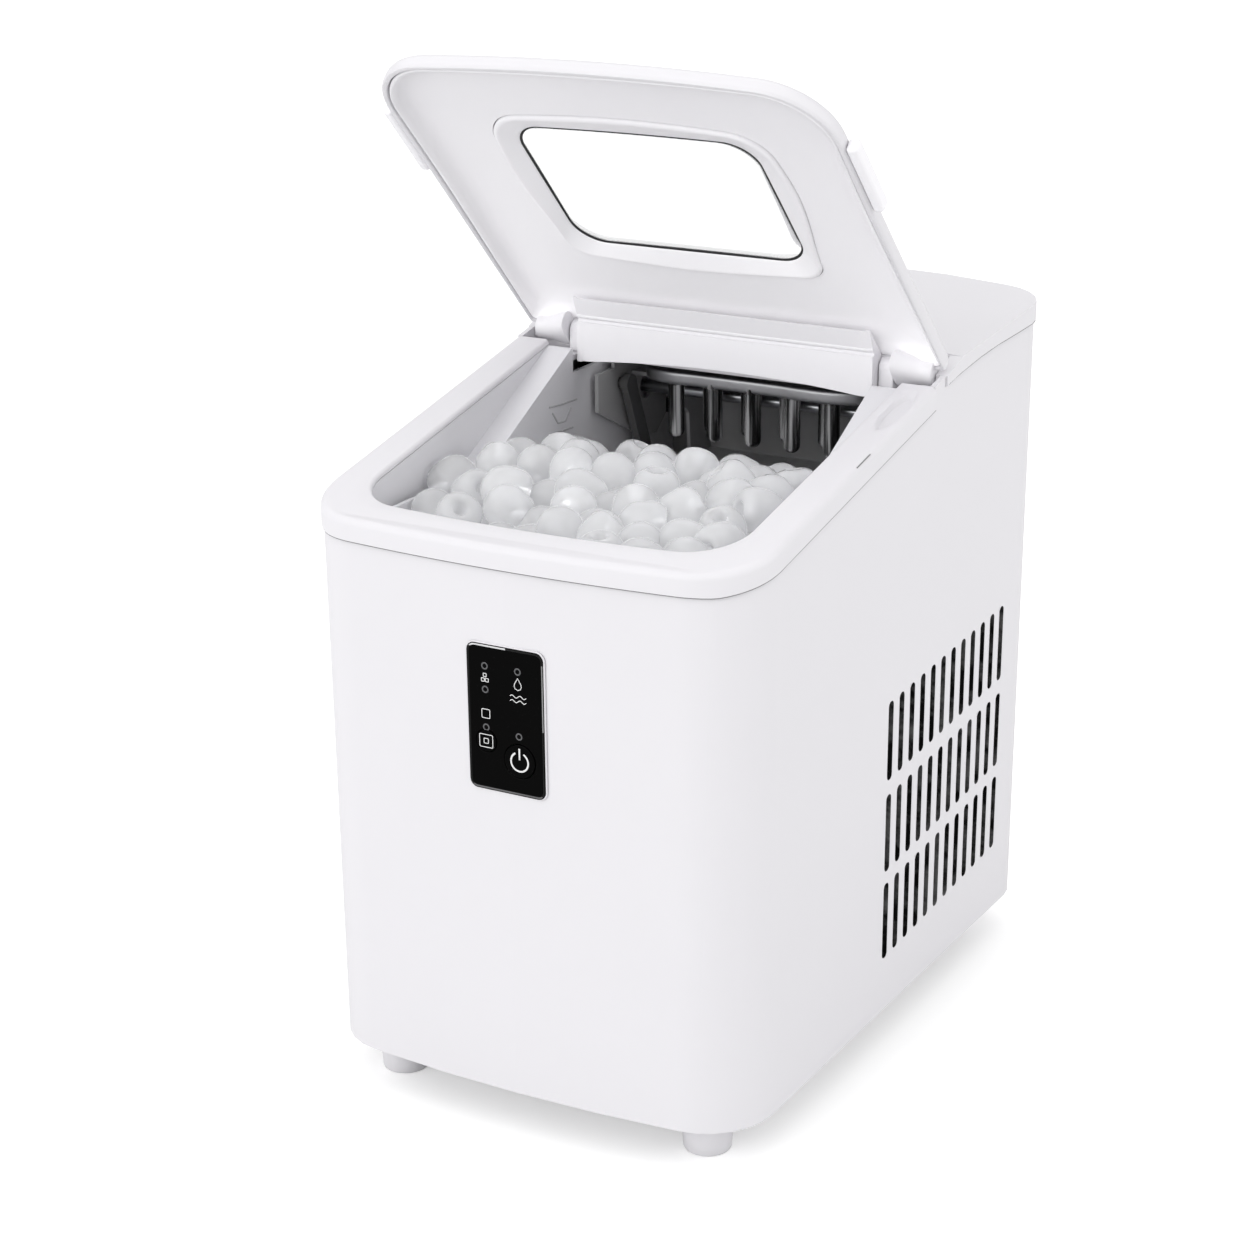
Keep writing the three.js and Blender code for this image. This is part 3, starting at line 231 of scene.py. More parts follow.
def shellFinish(name, tone, roughness, drift):
    # the casing's plastic, with painted shade inside the air slots of both sides: mottled near-black below the
    # skin of the wall, between the heights and depths of the slotted field, in place of the shaded inside of the
    # casing
    finish, cloud, plain = plasticBase(name, tone, drift)
    x, y, z = finish.axes()
    reach = x.maths("ABSOLUTE", 0.0)
    # painted shade: the mask of the slotted field's inner wall, which is coloured near black
    within = reach.between(0.1, 0.1099) * y.between(-0.03, 0.14) * z.between(0.04, 0.2)
    paintedShadeMottle = finish.noise(48.0, 4.0, 0.7)
    paintedShadePatches = finish.node("ShaderNodeValToRGB", {"stops": [(0.44, 0.004), (0.62, 0.16)]}, {"Fac": paintedShadeMottle})
    return finish.tint(within, plain, paintedShadePatches).mould(cloud, roughness)


def clearFinish():
    # clear acrylic whose polish varies very slightly
    finish = Finish("clearWindow", {"IOR": 1.45, "Transmission Weight": 1.0, "Specular IOR Level": 0.12})
    wave = finish.noise(40.0)
    finish.tint(wave, (0.97, 0.975, 0.98), (0.99, 0.99, 0.99))
    finish.feed("Roughness", 0.01 + wave * 0.02)
    return finish.material


def boardFinish():
    # printed circuit board: lacquered green with a brickwork of paler tracks
    finish = Finish("circuitBoard", {"Roughness": 0.4})
    tracks = finish.node("ShaderNodeTexBrick", {"offset": 0.35}, {
        "Vector": finish.stretched((1.0, 1.0, 1.0)), "Scale": 160.0, "Mortar Size": 0.04}, "Fac")
    finish.tint(tracks, (0.02, 0.11, 0.05), (0.06, 0.2, 0.09))
    return finish.press(tracks, 0.3, 0.0001)


def foamFinish():
    # sprayed insulation foam: open cells and slow lumps
    finish = Finish("insulationFoam", {})
    cells = finish.node("ShaderNodeTexVoronoi", {}, {"Vector": finish.place(), "Scale": 320.0}, "Distance")
    lumps = finish.noise(30.0, 4.0)
    finish.tint(lumps, (0.66, 0.6, 0.45), (0.83, 0.79, 0.66))
    finish.feed("Roughness", 0.85 + lumps * 0.1)
    return finish.press(cells + lumps * 2.0, 0.6, 0.001)


plastics = {
    "casing": ("whiteCasing", (0.705, 0.695, 0.72), 0.4, 0.012),
    "seam": ("seamShade", (0.20, 0.20, 0.205), 0.6, 0.05),
    # the lid's parts: a lighter white than the casing's, painted light for parts that sit in shade under the open
    # lid
    "lid": ("whiteLid", (0.87, 0.86, 0.885), 0.34, 0.012),
    "liner": ("whiteLiner", (0.72, 0.715, 0.74), 0.36, 0.015),
    "foot": ("greyFoot", (0.70, 0.69, 0.715), 0.5, 0.02),
    "black": ("blackPlastic", (0.016, 0.016, 0.017), 0.42, 0.15),
    "smoke": ("greyPlate", (0.28, 0.28, 0.28), 0.34, 0.06),
    "tray": ("greyTray", (0.34, 0.34, 0.345), 0.34, 0.06),
    "bracket": ("bracketGrey", (0.42, 0.42, 0.425), 0.4, 0.05),
    "slate": ("slateGrey", (0.10, 0.10, 0.10), 0.36, 0.08),
    "fins": ("blackFins", (0.02, 0.02, 0.021), 0.5, 0.3),
    "gloss": ("panelGloss", (0.001, 0.001, 0.001), 0.1, 0.1, 0.01, 0.04),
    "mark": ("mouldedMark", (0.52, 0.515, 0.53), 0.5, 0.03),
    "print": ("panelPrint", (0.78, 0.78, 0.78), 0.5, 0.02),
    "lamp": ("lampRing", (0.10, 0.10, 0.105), 0.4, 0.05),
    "rubber": ("blackRubber", (0.022, 0.022, 0.023), 0.75, 0.15, 0.3),
    "enamel": ("blackEnamel", (0.012, 0.012, 0.014), 0.24, 0.1, 0.2),
}
finishes = {key: mouldedPlastic(*values) for key, values in plastics.items()}
finishes |= {
    "shell": shellFinish("ventedCasing", (0.705, 0.695, 0.72), 0.4, 0.012),
    "lidInside": lidFinish(),
    "bezel": bezelFinish(),
    "header": brushedMetal("dullHeader", (0.34, 0.34, 0.35), 0.3, "X"),
    "chrome": paintedReflectionFinish(),
    "steel": brushedMetal("brushedSteel", (0.52, 0.53, 0.55), 0.24, "X"),
    "copper": brushedMetal("drawnCopper", (0.72, 0.36, 0.22), 0.22, "Z", 0.15),
    "ice": iceFinish(),
    "clear": clearFinish(),
    "board": boardFinish(),
    "foam": foamFinish(),
}
print("finishes made:", len(finishes))


# shape helpers, all in millimetres until a piece is added
def quads(rows, columns, aroundRows=False, aroundColumns=False):
    row = np.arange(rows if aroundRows else rows - 1)
    column = np.arange(columns if aroundColumns else columns - 1)
    a, b = np.meshgrid(row, column, indexing="ij")
    nextA, nextB = (a + 1) % rows, (b + 1) % columns
    corners = [a * columns + b, a * columns + nextB, nextA * columns + nextB, nextA * columns + b]
    return np.stack(corners, -1).reshape(-1, 4)


def objectOf(made, mesh, finish, sharp):
    made.to_mesh(mesh)
    made.free()
    mesh.shade_smooth()
    mesh.set_sharp_from_angle(angle=math.radians(sharp))
    mesh.materials.append(finishes[finish])
    piece = bpy.data.objects.new(mesh.name, mesh)
    scene.collection.objects.link(piece)
    return piece


def addPiece(name, points, faces, finish, body, replaced=(), slot=None, sharp=40):
    mesh = bpy.data.meshes.new(name)
    mesh.from_pydata((np.asarray(points).reshape(-1, 3) * mm).tolist(), [], faces)
    made = bmesh.new()
    made.from_mesh(mesh)
    bmesh.ops.remove_doubles(made, verts=made.verts, dist=2e-6)
    bmesh.ops.recalc_face_normals(made, faces=made.faces)
    piece = objectOf(made, mesh, finish, sharp)
    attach(piece, body)
    if replaced:
        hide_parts(*replaced)
    return piece


# a grid of cross-sections joined into one skin; open runs are closed with a face at each end
def addLoft(name, grid, finish, body, closedRun, **more):
    rows, columns = grid.shape[:2]
    faces = quads(rows, columns, aroundRows=closedRun, aroundColumns=True).tolist()
    if not closedRun:
        faces += [list(range(columns)), list(range((rows - 1) * columns, rows * columns))]
    addPiece(name, grid, faces, finish, body, **more)


# several copies of one small grid, moved and turned, all alike or each its own way, joined in one piece
def addCopies(name, grid, turns, places, finish, body, **more):
    rows, columns = grid.shape[:2]
    single = quads(rows, columns, aroundColumns=True)
    count = rows * columns
    turns = np.broadcast_to(turns, (len(places), 3, 3))
    points = np.einsum("nij,pj->npi", turns, grid.reshape(-1, 3)) + places[:, None, :]
    faces = (single[None] + np.arange(len(places))[:, None, None] * count).reshape(-1, 4)
    addPiece(name, points, faces.tolist(), finish, body, **more)


# a CAD node's own shape with its flat faces joined and its edges rounded
def soften(node, finish, edge, rounds=(), sharp=32, steps=3, shape=None):
    made = bmesh.new()
    made.from_mesh(frame["nodes"][node].data)
    bmesh.ops.remove_doubles(made, verts=made.verts, dist=1e-6)
    bmesh.ops.dissolve_limit(made, angle_limit=math.radians(0.6), verts=made.verts, edges=made.edges)
    if shape:
        shape(made)
    for test, radius, segments in rounds:
        edges = [line for line in made.edges if len(line.link_faces) == 2 and test(line)]
        bmesh.ops.bevel(made, geom=edges, offset=radius * mm, segments=segments, affect="EDGES", profile=0.5,
                        clamp_overlap=True, material=-1)
    piece = objectOf(made, bpy.data.meshes.new(node + "_finish"), finish, sharp)
    if edge:
        bevel = piece.modifiers.new("edges", "BEVEL")
        bevel.width = edge * mm
        bevel.segments = steps
        bevel.limit_method = "ANGLE"
        bevel.angle_limit = math.radians(sharp)
    piece.modifiers.new("normals", "WEIGHTED_NORMAL").keep_sharp = True
    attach(piece, bodyOf[node])
    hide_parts(node)


def unit(vectors):
    return vectors / np.linalg.norm(vectors, axis=1, keepdims=True)


def fullTurn(count):
    angle = np.linspace(0, 2 * math.pi, count, endpoint=False)
    return np.cos(angle), np.sin(angle)


def arcPoints(centreX, centreY, radius, start, end, count):
    angle = np.linspace(start, end, count)
    return np.stack([centreX + radius * np.cos(angle), centreY + radius * np.sin(angle)], -1)


# right half of a bow-fronted outline, from the front middle towards the rear middle: an arc over the
# front, a corner arc tangent to it, a straight side, and a rear corner where the side isn't cut short
def halfOutline(plan, grow=0.0, sideEnd=None):
    width, radius, rearRadius = plan["halfWidth"], plan["frontRadius"], plan["rearRadius"]
    bowRadius = (width**2 + plan["bow"] ** 2) / (2 * plan["bow"])
    bowY = plan["frontY"] + bowRadius
    cornerX = width - radius
    cornerY = bowY - math.sqrt((bowRadius - radius) ** 2 - cornerX**2)
    tangent = math.atan2(cornerY - bowY, cornerX)
    endY = plan["rearY"] - rearRadius if sideEnd is None else sideEnd
    parts = [
        arcPoints(0, bowY, bowRadius + grow, -math.pi / 2, tangent, 28)[:-1],
        arcPoints(cornerX, cornerY, radius + grow, tangent, 0, 15)[:-1],
        np.linspace((width + grow, cornerY), (width + grow, endY), 90),
    ]
    if sideEnd is None:
        parts.append(arcPoints(width - rearRadius, endY, rearRadius + grow, 0, math.pi / 2, 13)[1:])
        rearY = plan["rearY"] + grow
        parts.append(np.linspace((width - rearRadius, rearY), (0, rearY), 18)[1:])
    return np.concatenate(parts)


def mirrorX(points):
    return points[::-1] * np.array([-1.0, 1.0])


def openOutline(plan, grow, sideEnd):
    right = halfOutline(plan, grow, sideEnd)
    return np.concatenate([mirrorX(right)[:-1], right])


def closedOutline(plan):
    right = halfOutline(plan)
    return np.concatenate([right, mirrorX(right)[1:-1]])


# cross-section between two matched outlines: each entry steps in from the outer one, out from the inner
# one, or lies a share of the way between them, and gives a height
def sections(outer, inner, entries, heightAt):
    across = inner - outer
    length = np.linalg.norm(across, axis=1, keepdims=True)
    across = across / length
    columns = []
    for start, step, height in entries:
        if start == "outer":
            place = outer + across * step
        elif start == "inner":
            place = inner - across * step
        else:
            place = outer + across * length * step
        columns.append(np.column_stack([place, heightAt(place) + height]))
    return np.stack(columns, axis=1)


# quarter-round entries from a wall up on to a top
def roundOver(start, radius, height, count, falling=False):
    angles = np.linspace(0, math.pi / 2, count)
    steps = [(start, radius * (1 - math.cos(a)), height - radius * (1 - math.sin(a))) for a in angles]
    return steps[::-1] if falling else steps


def turnedGrid(profile, sides):
    radius, height = np.array(profile, float).T
    x, y = (radius[:, None] * share for share in fullTurn(sides))
    return np.stack([x, y, np.broadcast_to(height[:, None], x.shape)], -1)


# round tube along a path that never runs upright, its rings square to the path
def tubeGrid(path, radius, sides):
    path = np.asarray(path, float)
    along = unit(np.gradient(path, axis=0))
    side = unit(np.cross(along, (0.0, 0.0, 1.0)))
    up = np.cross(side, along)
    aside, above = (share[None, :, None] for share in fullTurn(sides))
    return path[:, None] + radius * (aside * side[:, None] + above * up[:, None])


def smoothPath(points, count):
    # points joined by a cubic through each of them, evenly spaced along its length
    points = np.asarray(points, float)
    step = np.linalg.norm(np.diff(points, axis=0), axis=1)
    knots = np.concatenate([[0], np.cumsum(step)])
    fine = np.linspace(0, knots[-1], count)
    slope = np.gradient(points, knots, axis=0)
    index = np.clip(np.searchsorted(knots, fine, side="right") - 1, 0, len(points) - 2)
    span = (knots[index + 1] - knots[index])[:, None]
    t = ((fine - knots[index])[:, None]) / span
    first, second = points[index], points[index + 1]
    rise, fall = slope[index] * span, slope[index + 1] * span
    return (2 * t**3 - 3 * t**2 + 1) * first + (t**3 - 2 * t**2 + t) * rise + (
        3 * t**2 - 2 * t**3) * second + (t**3 - t**2) * fall


def sizesOf(node):
    low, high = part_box(node)
    return np.array(low) / mm, np.array(high) / mm


# casing
casing = {
    "plan": {"halfWidth": 110, "frontY": -163, "rearY": 163, "bow": 8, "frontRadius": 33, "rearRadius": 22},
    "slope": 0.212, "slopeStart": -154, "shellFront": 266, "proud": 1.0, "wall": 2.5,
}
mouth = {"halfWidth": 92.5, "frontY": -143.5, "rearY": 60, "bow": 4.5, "frontRadius": 26, "rearRadius": 0}
rim = {
    "band": 10.2, "endY": 28, "outerRound": 3.4, "innerRound": 1.9, "thick": 2.5, "wall": 3.5,
    "flat": (3.8, 13.4), "foot": 0.4,
}
recess = {"x": 102.6, "y": 2.5, "halfWidth": 5.4, "halfLength": 21, "depth": 2.6, "wall": 0.3}
slotField = {"low": 46, "high": 190, "side": 104}


def rimSeam(place):
    return casing["shellFront"] + casing["slope"] * np.maximum(0, place[:, 1] - casing["slopeStart"])


def rimTop(place):
    return rimSeam(place) + rim["band"]


def slotCorner(line):
    # the four corners of each air slot, which run through the wall from side to side
    a, b = line.verts[0].co / mm, line.verts[1].co / mm
    through = abs(abs(a.x - b.x) - casing["wall"]) < 0.2 and abs(a.y - b.y) < 0.01 and abs(a.z - b.z) < 0.01
    return through and slotField["low"] < a.z < slotField["high"] and abs(a.x) > slotField["side"]


# the seam between the casing and the rear cover: straight in the frame, but on the sides it swells
# upwards between the hinge and the rear corner by the amounts listed here
coverSeam = {
    "front": 39.5,
    "height": 312.4,
    "rise": 0.085,
    "side": 106,
    "cuts": [43.2 + 11.8 * step for step in range(9)],
    "swell": [(39.5, 0.1), (47, 1.2), (60, 1.9), (78, 2.4), (97, 2.3), (117, 1.2), (134, 0.4), (147, 0)],
}


def seamHeight(y):
    places, lifts = zip(*coverSeam["swell"])
    return coverSeam["height"] + coverSeam["rise"] * (y - coverSeam["front"]), np.interp(y, places, lifts)


def swellSeam(made):
    # cut across at even steps, then lift the points that lie on the seam
    for y in coverSeam["cuts"]:
        parts = made.verts[:] + made.edges[:] + made.faces[:]
        bmesh.ops.bisect_plane(made, geom=parts, plane_co=(0, y * mm, 0), plane_no=(0, 1, 0), dist=1e-6)
    for vert in made.verts:
        place = vert.co / mm
        height, lift = seamHeight(place.y)
        onSide = place.y > coverSeam["front"] and abs(place.x) > coverSeam["side"]
        if onSide and abs(place.z - height) < 0.5:
            vert.co.z += lift * mm


soften("outer_shell", "shell", 0.32, rounds=[(slotCorner, 2.45, 5)], shape=swellSeam)


# rim: a section carried round the open side of the mouth, rounded outside and inside, with a finger
# recess pressed into the right-hand edge as a smooth oval hollow
def makeRim():
    outer = openOutline(casing["plan"], casing["proud"], rim["endY"])
    inner = openOutline(mouth, 0.0, rim["endY"])
    wall, thick, band = rim["wall"], rim["thick"], rim["band"]
    entries = [("outer", 0, -band), ("outer", 0, rim["foot"] - band)]
    entries += roundOver("outer", rim["outerRound"], 0, 7)
    entries += [("outer", step, 0) for step in np.linspace(*rim["flat"], 17)]
    entries += roundOver("inner", rim["innerRound"], 0, 5, falling=True)
    entries += [("inner", 0, -thick), ("outer", wall, -thick), ("outer", wall, -band)]
    grid = sections(outer, inner, entries, rimTop)
    acrossShare = (grid[..., 0] - recess["x"]) / recess["halfWidth"]
    alongShare = (grid[..., 1] - recess["y"]) / recess["halfLength"]
    reach = np.clip(1 - np.sqrt(acrossShare**2 + alongShare**2), 0, 1)
    reach = np.clip(reach / recess["wall"], 0, 1)
    hollow = recess["depth"] * reach**2 * (3 - 2 * reach)
    top = grid[..., 2] > rimTop(grid.reshape(-1, 3)).reshape(hollow.shape) - 1.6
    grid[..., 2] -= np.where(top, hollow, 0)
    addLoft("rim_moulding", grid, "casing", "casing", False, replaced=["top_rim"], slot="white_casing")


# a short dark slit along the rim's right-hand outer edge
slit = {"from": -52.5, "to": -39.5, "x": 109.75, "drop": 0.55, "radius": 0.26}


def makeSlit():
    path = np.zeros((9, 3))
    path[:, 0] = slit["x"]
    path[:, 1] = np.linspace(slit["from"], slit["to"], 9)
    path[:, 2] = rimTop(path) - slit["drop"]
    addLoft("rim_slit", tubeGrid(path, slit["radius"], 12), "seam", "casing", False, slot="white_casing")


makeRim()
makeSlit()


coverTop = {"side": 108.5, "rear": 161.5, "cornerX": 86, "cornerY": 138, "height": 319.5, "fold": 50}


def coverEdge(line):
    # the rear cover's outer top edge, all the way round
    if line.calc_face_angle(0) < math.radians(coverTop["fold"]):
        return False
    middle = (line.verts[0].co + line.verts[1].co) / 2 / mm
    reach, y = abs(middle.x), middle.y
    inCorner = reach > coverTop["cornerX"] and y > coverTop["cornerY"]
    outside = reach > coverTop["side"] or y > coverTop["rear"] or inCorner
    return outside and middle.z > coverTop["height"] + coverSeam["rise"] * (y - coverSeam["front"])


soften("rear_top_cover", "casing", 0.4, rounds=[(coverEdge, 2.6, 5)], shape=swellSeam)


# shadow lines: a thin strip under the rim's lower edge and under the rear cover's, each following its
# outline just short of the moulding's face
shadowLine = {"height": 0.42, "depth": 1.2, "inset": 0.12}


def addShadowLine(name, outline, heights):
    inset, depth, height = shadowLine["inset"], shadowLine["depth"], shadowLine["height"]
    inward = unit(np.gradient(outline, axis=0) @ np.array([[0.0, 1.0], [-1.0, 0.0]]))
    rows = []
    for step, drop in ((inset, 0), (inset, height), (depth, height), (depth, 0)):
        rows.append(np.column_stack([outline + inward * step, heights - drop]))
    addLoft(name, np.stack(rows, 1), "seam", "casing", False, slot="white_casing")


def makeShadowLines():
    rimEdge = openOutline(casing["plan"], casing["proud"], rim["endY"])
    addShadowLine("rim_shadow_line", rimEdge, rimSeam(rimEdge))
    right = halfOutline(casing["plan"], casing["proud"])
    right = right[right[:, 1] > coverSeam["front"] + 0.8]
    coverLine = np.concatenate([right, mirrorX(right)[1:]])
    height, lift = seamHeight(coverLine[:, 1])
    onSide = np.abs(coverLine[:, 0]) > coverSeam["side"]
    addShadowLine("cover_shadow_line", coverLine, height + lift * onSide + 0.3)


makeShadowLines()
soften("rear_panel", "casing", 0.4)
soften("base_tray", "casing", 0.5)


# screws that hold the rear panel: a low dome with a cross pressed in
screws = {
    "radius": 3.2, "rise": 0.8, "sunk": 0.5, "arm": 2.0, "groove": 0.42, "depth": 0.6, "edge": 0.15,
    "side": 78, "heights": (96, 190, 284),
}


def makeScrews():
    # the dome stands rise * (1 - (r / radius) squared) high; the cross is a smooth trough wherever a
    # point lies near either of its two arms and within their reach
    radii = np.linspace(screws["radius"], 0, 18)
    rise = screws["edge"] + screws["rise"] * (1 - (radii / screws["radius"]) ** 2)
    grid = turnedGrid([(0, -screws["sunk"]), (screws["radius"], -screws["sunk"]), *zip(radii, rise)], 64)
    across = np.minimum(np.abs(grid[..., 0]), np.abs(grid[..., 1])) / screws["groove"]
    outwards = np.hypot(grid[..., 0], grid[..., 1]) / screws["arm"]
    grid[..., 2] -= screws["depth"] * np.exp(-across ** 4 - outwards ** 8) * (grid[..., 2] > 0)
    rearFace = sizesOf("rear_panel")[1][1]
    side = screws["side"]
    places = np.array([(x, rearFace, z) for x in (-side, side) for z in screws["heights"]])
    facingBack = np.array([[1, 0, 0], [0, 0, 1], [0, -1, 0]], float)
    addCopies("rear_screws", grid, facingBack, places, "steel", "casing", slot="plated")


makeScrews()


def makeFeet():
    profile = [(0, 0), (9.6, 0), (10.5, 0.3), (11, 1.2), (11.25, 6), (11.7, 14),
               (11.95, 18.6), (11.6, 19.6), (0, 19.7)]
    grid = turnedGrid(profile, 48)
    for name in ("foot_front_left", "foot_front_right", "foot_rear_left", "foot_rear_right"):
        low, high = sizesOf(name)
        middle = np.array([[(low[0] + high[0]) / 2, (low[1] + high[1]) / 2, 0.0]])
        addCopies(name + "_turned", grid, np.eye(3), middle, "foot", "casing",
                  replaced=[name], slot="grey_foot")


makeFeet()
print("casing made")


# control panel
panelFront = sizesOf("control_lens")[0][1]
keyFront = sizesOf("power_key")[0][1]
panelPrints = {
    "line": 0.34,
    "lamps": [(6.3, 192.9), (6.3, 222.2), (-10.1, 222.2), (-10.1, 211.6), (-10.1, 194.4)],
    "lampRadius": 1.35,
    "lampLine": 0.62,
    "cubes": [(-11.1, 215.9), (-9.1, 215.9), (-10.1, 218.1)],
    "cubeSize": (0.75, 0.75, 0.25),
    "drop": [(0, 3.1), (0.7, 1.9), (1.55, 0.5), (1.8, -0.6), (1.35, -1.7), (0, -2.3),
             (-1.35, -1.7), (-1.8, -0.6), (-1.55, 0.5), (-0.7, 1.9), (0, 3.1)],
    "dropMiddle": (6.3, 216.2),
    "waves": {"x": 6.3, "reach": 4, "height": 0.55, "pitch": 1.6, "levels": (210.9, 208.8)},
    "largeIce": (-10.1, 200.6, 2.0, 2.0, 0.5),
    "smallIce": [(-10.2, 188.2, 3.3, 2.9, 0.5), (-10.2, 188.2, 1.1, 1.1, 0.3)],
    "powerMiddle": (6.4, 181.4),
    "powerRadius": 4.3,
    "powerBar": [(6.4, 182.4), (6.4, 185.2), (6.4, 187.6)],
    "powerArc": (118, 422),
    "powerLine": 0.8,
}
soften("control_lens", "gloss", 0.5, steps=4)
soften("power_key", "gloss", 0.25)
soften("size_key", "gloss", 0.25)


def circle(x, z, radius, start=0.0, end=360.0):
    return arcPoints(x, z, radius, math.radians(start), math.radians(end), 37)


def boxLine(x, z, halfWidth, halfHeight, corner, count=5):
    corners = []
    for turn, (sx, sz) in enumerate([(1, 1), (-1, 1), (-1, -1), (1, -1)]):
        corners.append(arcPoints(x + sx * (halfWidth - corner), z + sz * (halfHeight - corner), corner,
                                 turn * math.pi / 2, (turn + 1) * math.pi / 2, count))
    corners.append(corners[0][:1])
    return np.concatenate(corners)


# a printed line: a flat strip of even width that follows its points on the panel's face
def strip(points, width, faceY, start):
    points = np.asarray(points, float)
    along = np.gradient(points, axis=0)
    if np.allclose(points[0], points[-1]):
        along[0] = along[-1] = points[1] - points[-2]
    along = unit(along)
    aside = np.stack([-along[:, 1], along[:, 0]], -1) * width / 2
    rails = np.stack([points + aside, points - aside], 1)
    y = np.full(rails.shape[:2] + (1,), faceY)
    grid = np.concatenate([rails[..., :1], y, rails[..., 1:]], -1)
    return grid.reshape(-1, 3), quads(len(points), 2) + start


def joinStrips(lines, width, faceY):
    points, faces, start = [], [], 0
    for line in lines:
        rails, between = strip(line, width, faceY, start)
        points.append(rails)
        faces.append(between)
        start += len(rails)
    return np.concatenate(points), np.concatenate(faces).tolist()


def thicken(piece, name, thickness):
    solid = piece.modifiers.new(name, "SOLIDIFY")
    solid.thickness = thickness * mm
    solid.offset = 0


def addPrint(name, lines, width, faceY, finish, body):
    points, faces = joinStrips(lines, width, faceY - 0.03)
    piece = addPiece(name, points, faces, finish, body)
    thicken(piece, "ink", 0.04)


# the lens's bevelled edge, and the fine lip of the casing that it sits in
panelEdges = {
    "width": 38.4, "height": 66.6, "radius": 4.0, "middle": 198.9,
    "bevel": [(0.5, 0.5), (0.55, 0.0), (0.75, -0.16), (1.0, -0.2), (1.2, -0.12), (1.35, 0.04), (1.35, 0.5)],
    "lip": [(-0.5, 0.7), (-0.46, 0.3), (-0.28, 0.05), (-0.06, -0.02), (0.1, 0.08), (0.12, 0.3), (0.12, 0.7)],
}


def addPanelEdge(name, section, finish, slot):
    p = panelEdges
    rows = []
    for inset, back in section:
        corner = max(p["radius"] - inset, 0.5)
        line = boxLine(0, p["middle"], p["width"] / 2 - inset, p["height"] / 2 - inset, corner, 9)[:-1]
        rows.append(np.column_stack([line[:, 0], np.full(len(line), panelFront + back), line[:, 1]]))
    addLoft(name, np.stack(rows, 1), finish, "casing", True, slot=slot, sharp=60)


def makePrints():
    addPanelEdge("panel_edge", panelEdges["bevel"], "bezel", "panel_gloss")
    addPanelEdge("panel_lip", panelEdges["lip"], "casing", "white_casing")
    p = panelPrints
    rings = [circle(x, z, p["lampRadius"]) for x, z in p["lamps"]]
    addPrint("lamp_rings", rings, p["lampLine"], panelFront, "lamp", "casing")
    cubes = [boxLine(x, z, *p["cubeSize"]) for x, z in p["cubes"]]
    drop = np.array(p["drop"]) + p["dropMiddle"]
    wave = p["waves"]
    x = np.linspace(-wave["reach"], wave["reach"], 33)
    ripple = wave["height"] * np.sin(x * wave["pitch"])
    waves = [np.stack([x + wave["x"], level + ripple], -1) for level in wave["levels"]]
    icons = [*cubes, drop, *waves, boxLine(*p["largeIce"])]
    addPrint("panel_icons", icons, p["line"], panelFront, "print", "casing")
    power = [circle(*p["powerMiddle"], p["powerRadius"], *p["powerArc"]), np.array(p["powerBar"])]
    addPrint("power_icon", power, p["powerLine"], keyFront, "print", "power_button")
    small = [boxLine(*outline) for outline in p["smallIce"]]
    addPrint("size_icon", small, p["line"], keyFront, "print", "size_button")


makePrints()
print("control panel made")


# lid, worked out flat about its hinge line and then turned open
lid = {
    "plan": {"halfWidth": 109.7, "frontY": -200, "rearY": -1.5, "bow": 7, "frontRadius": 32,
             "rearRadius": 1.2},
    "height": 9.0, "open": 45.5, "edgeRound": 5.0, "crown": 12.4,
    "relief": {"start": -40, "run": 10, "halfWidth": 97, "height": 4.1},
}
glazing = {"halfWidth": 59, "frontY": -148, "rearY": -63, "bow": 1.2, "frontRadius": 15, "rearRadius": 15}
hingeAt = np.array(jointAt["lid_hinge"]) / mm


def lidPlace(grid):
    turn = math.radians(lid["open"])
    x, y, z = grid[..., 0], grid[..., 1], grid[..., 2]
    turnedY = y * math.cos(turn) + z * math.sin(turn)
    turnedZ = z * math.cos(turn) - y * math.sin(turn)
    return np.stack([x, turnedY + hingeAt[1], turnedZ + hingeAt[2]], -1)


# closed cross-section carried round the lid between its outline and the window's
def lidRing(entries):
    outer = closedOutline(lid["plan"])
    inner = closedOutline(glazing)
    return sections(outer, inner, entries, lambda place: np.zeros(len(place)))


def addLidPart(name, grid, finish, closedRun=True, slot="white_casing", **more):
    addLoft(name, lidPlace(grid), finish, "lid", closedRun, slot=slot, **more)


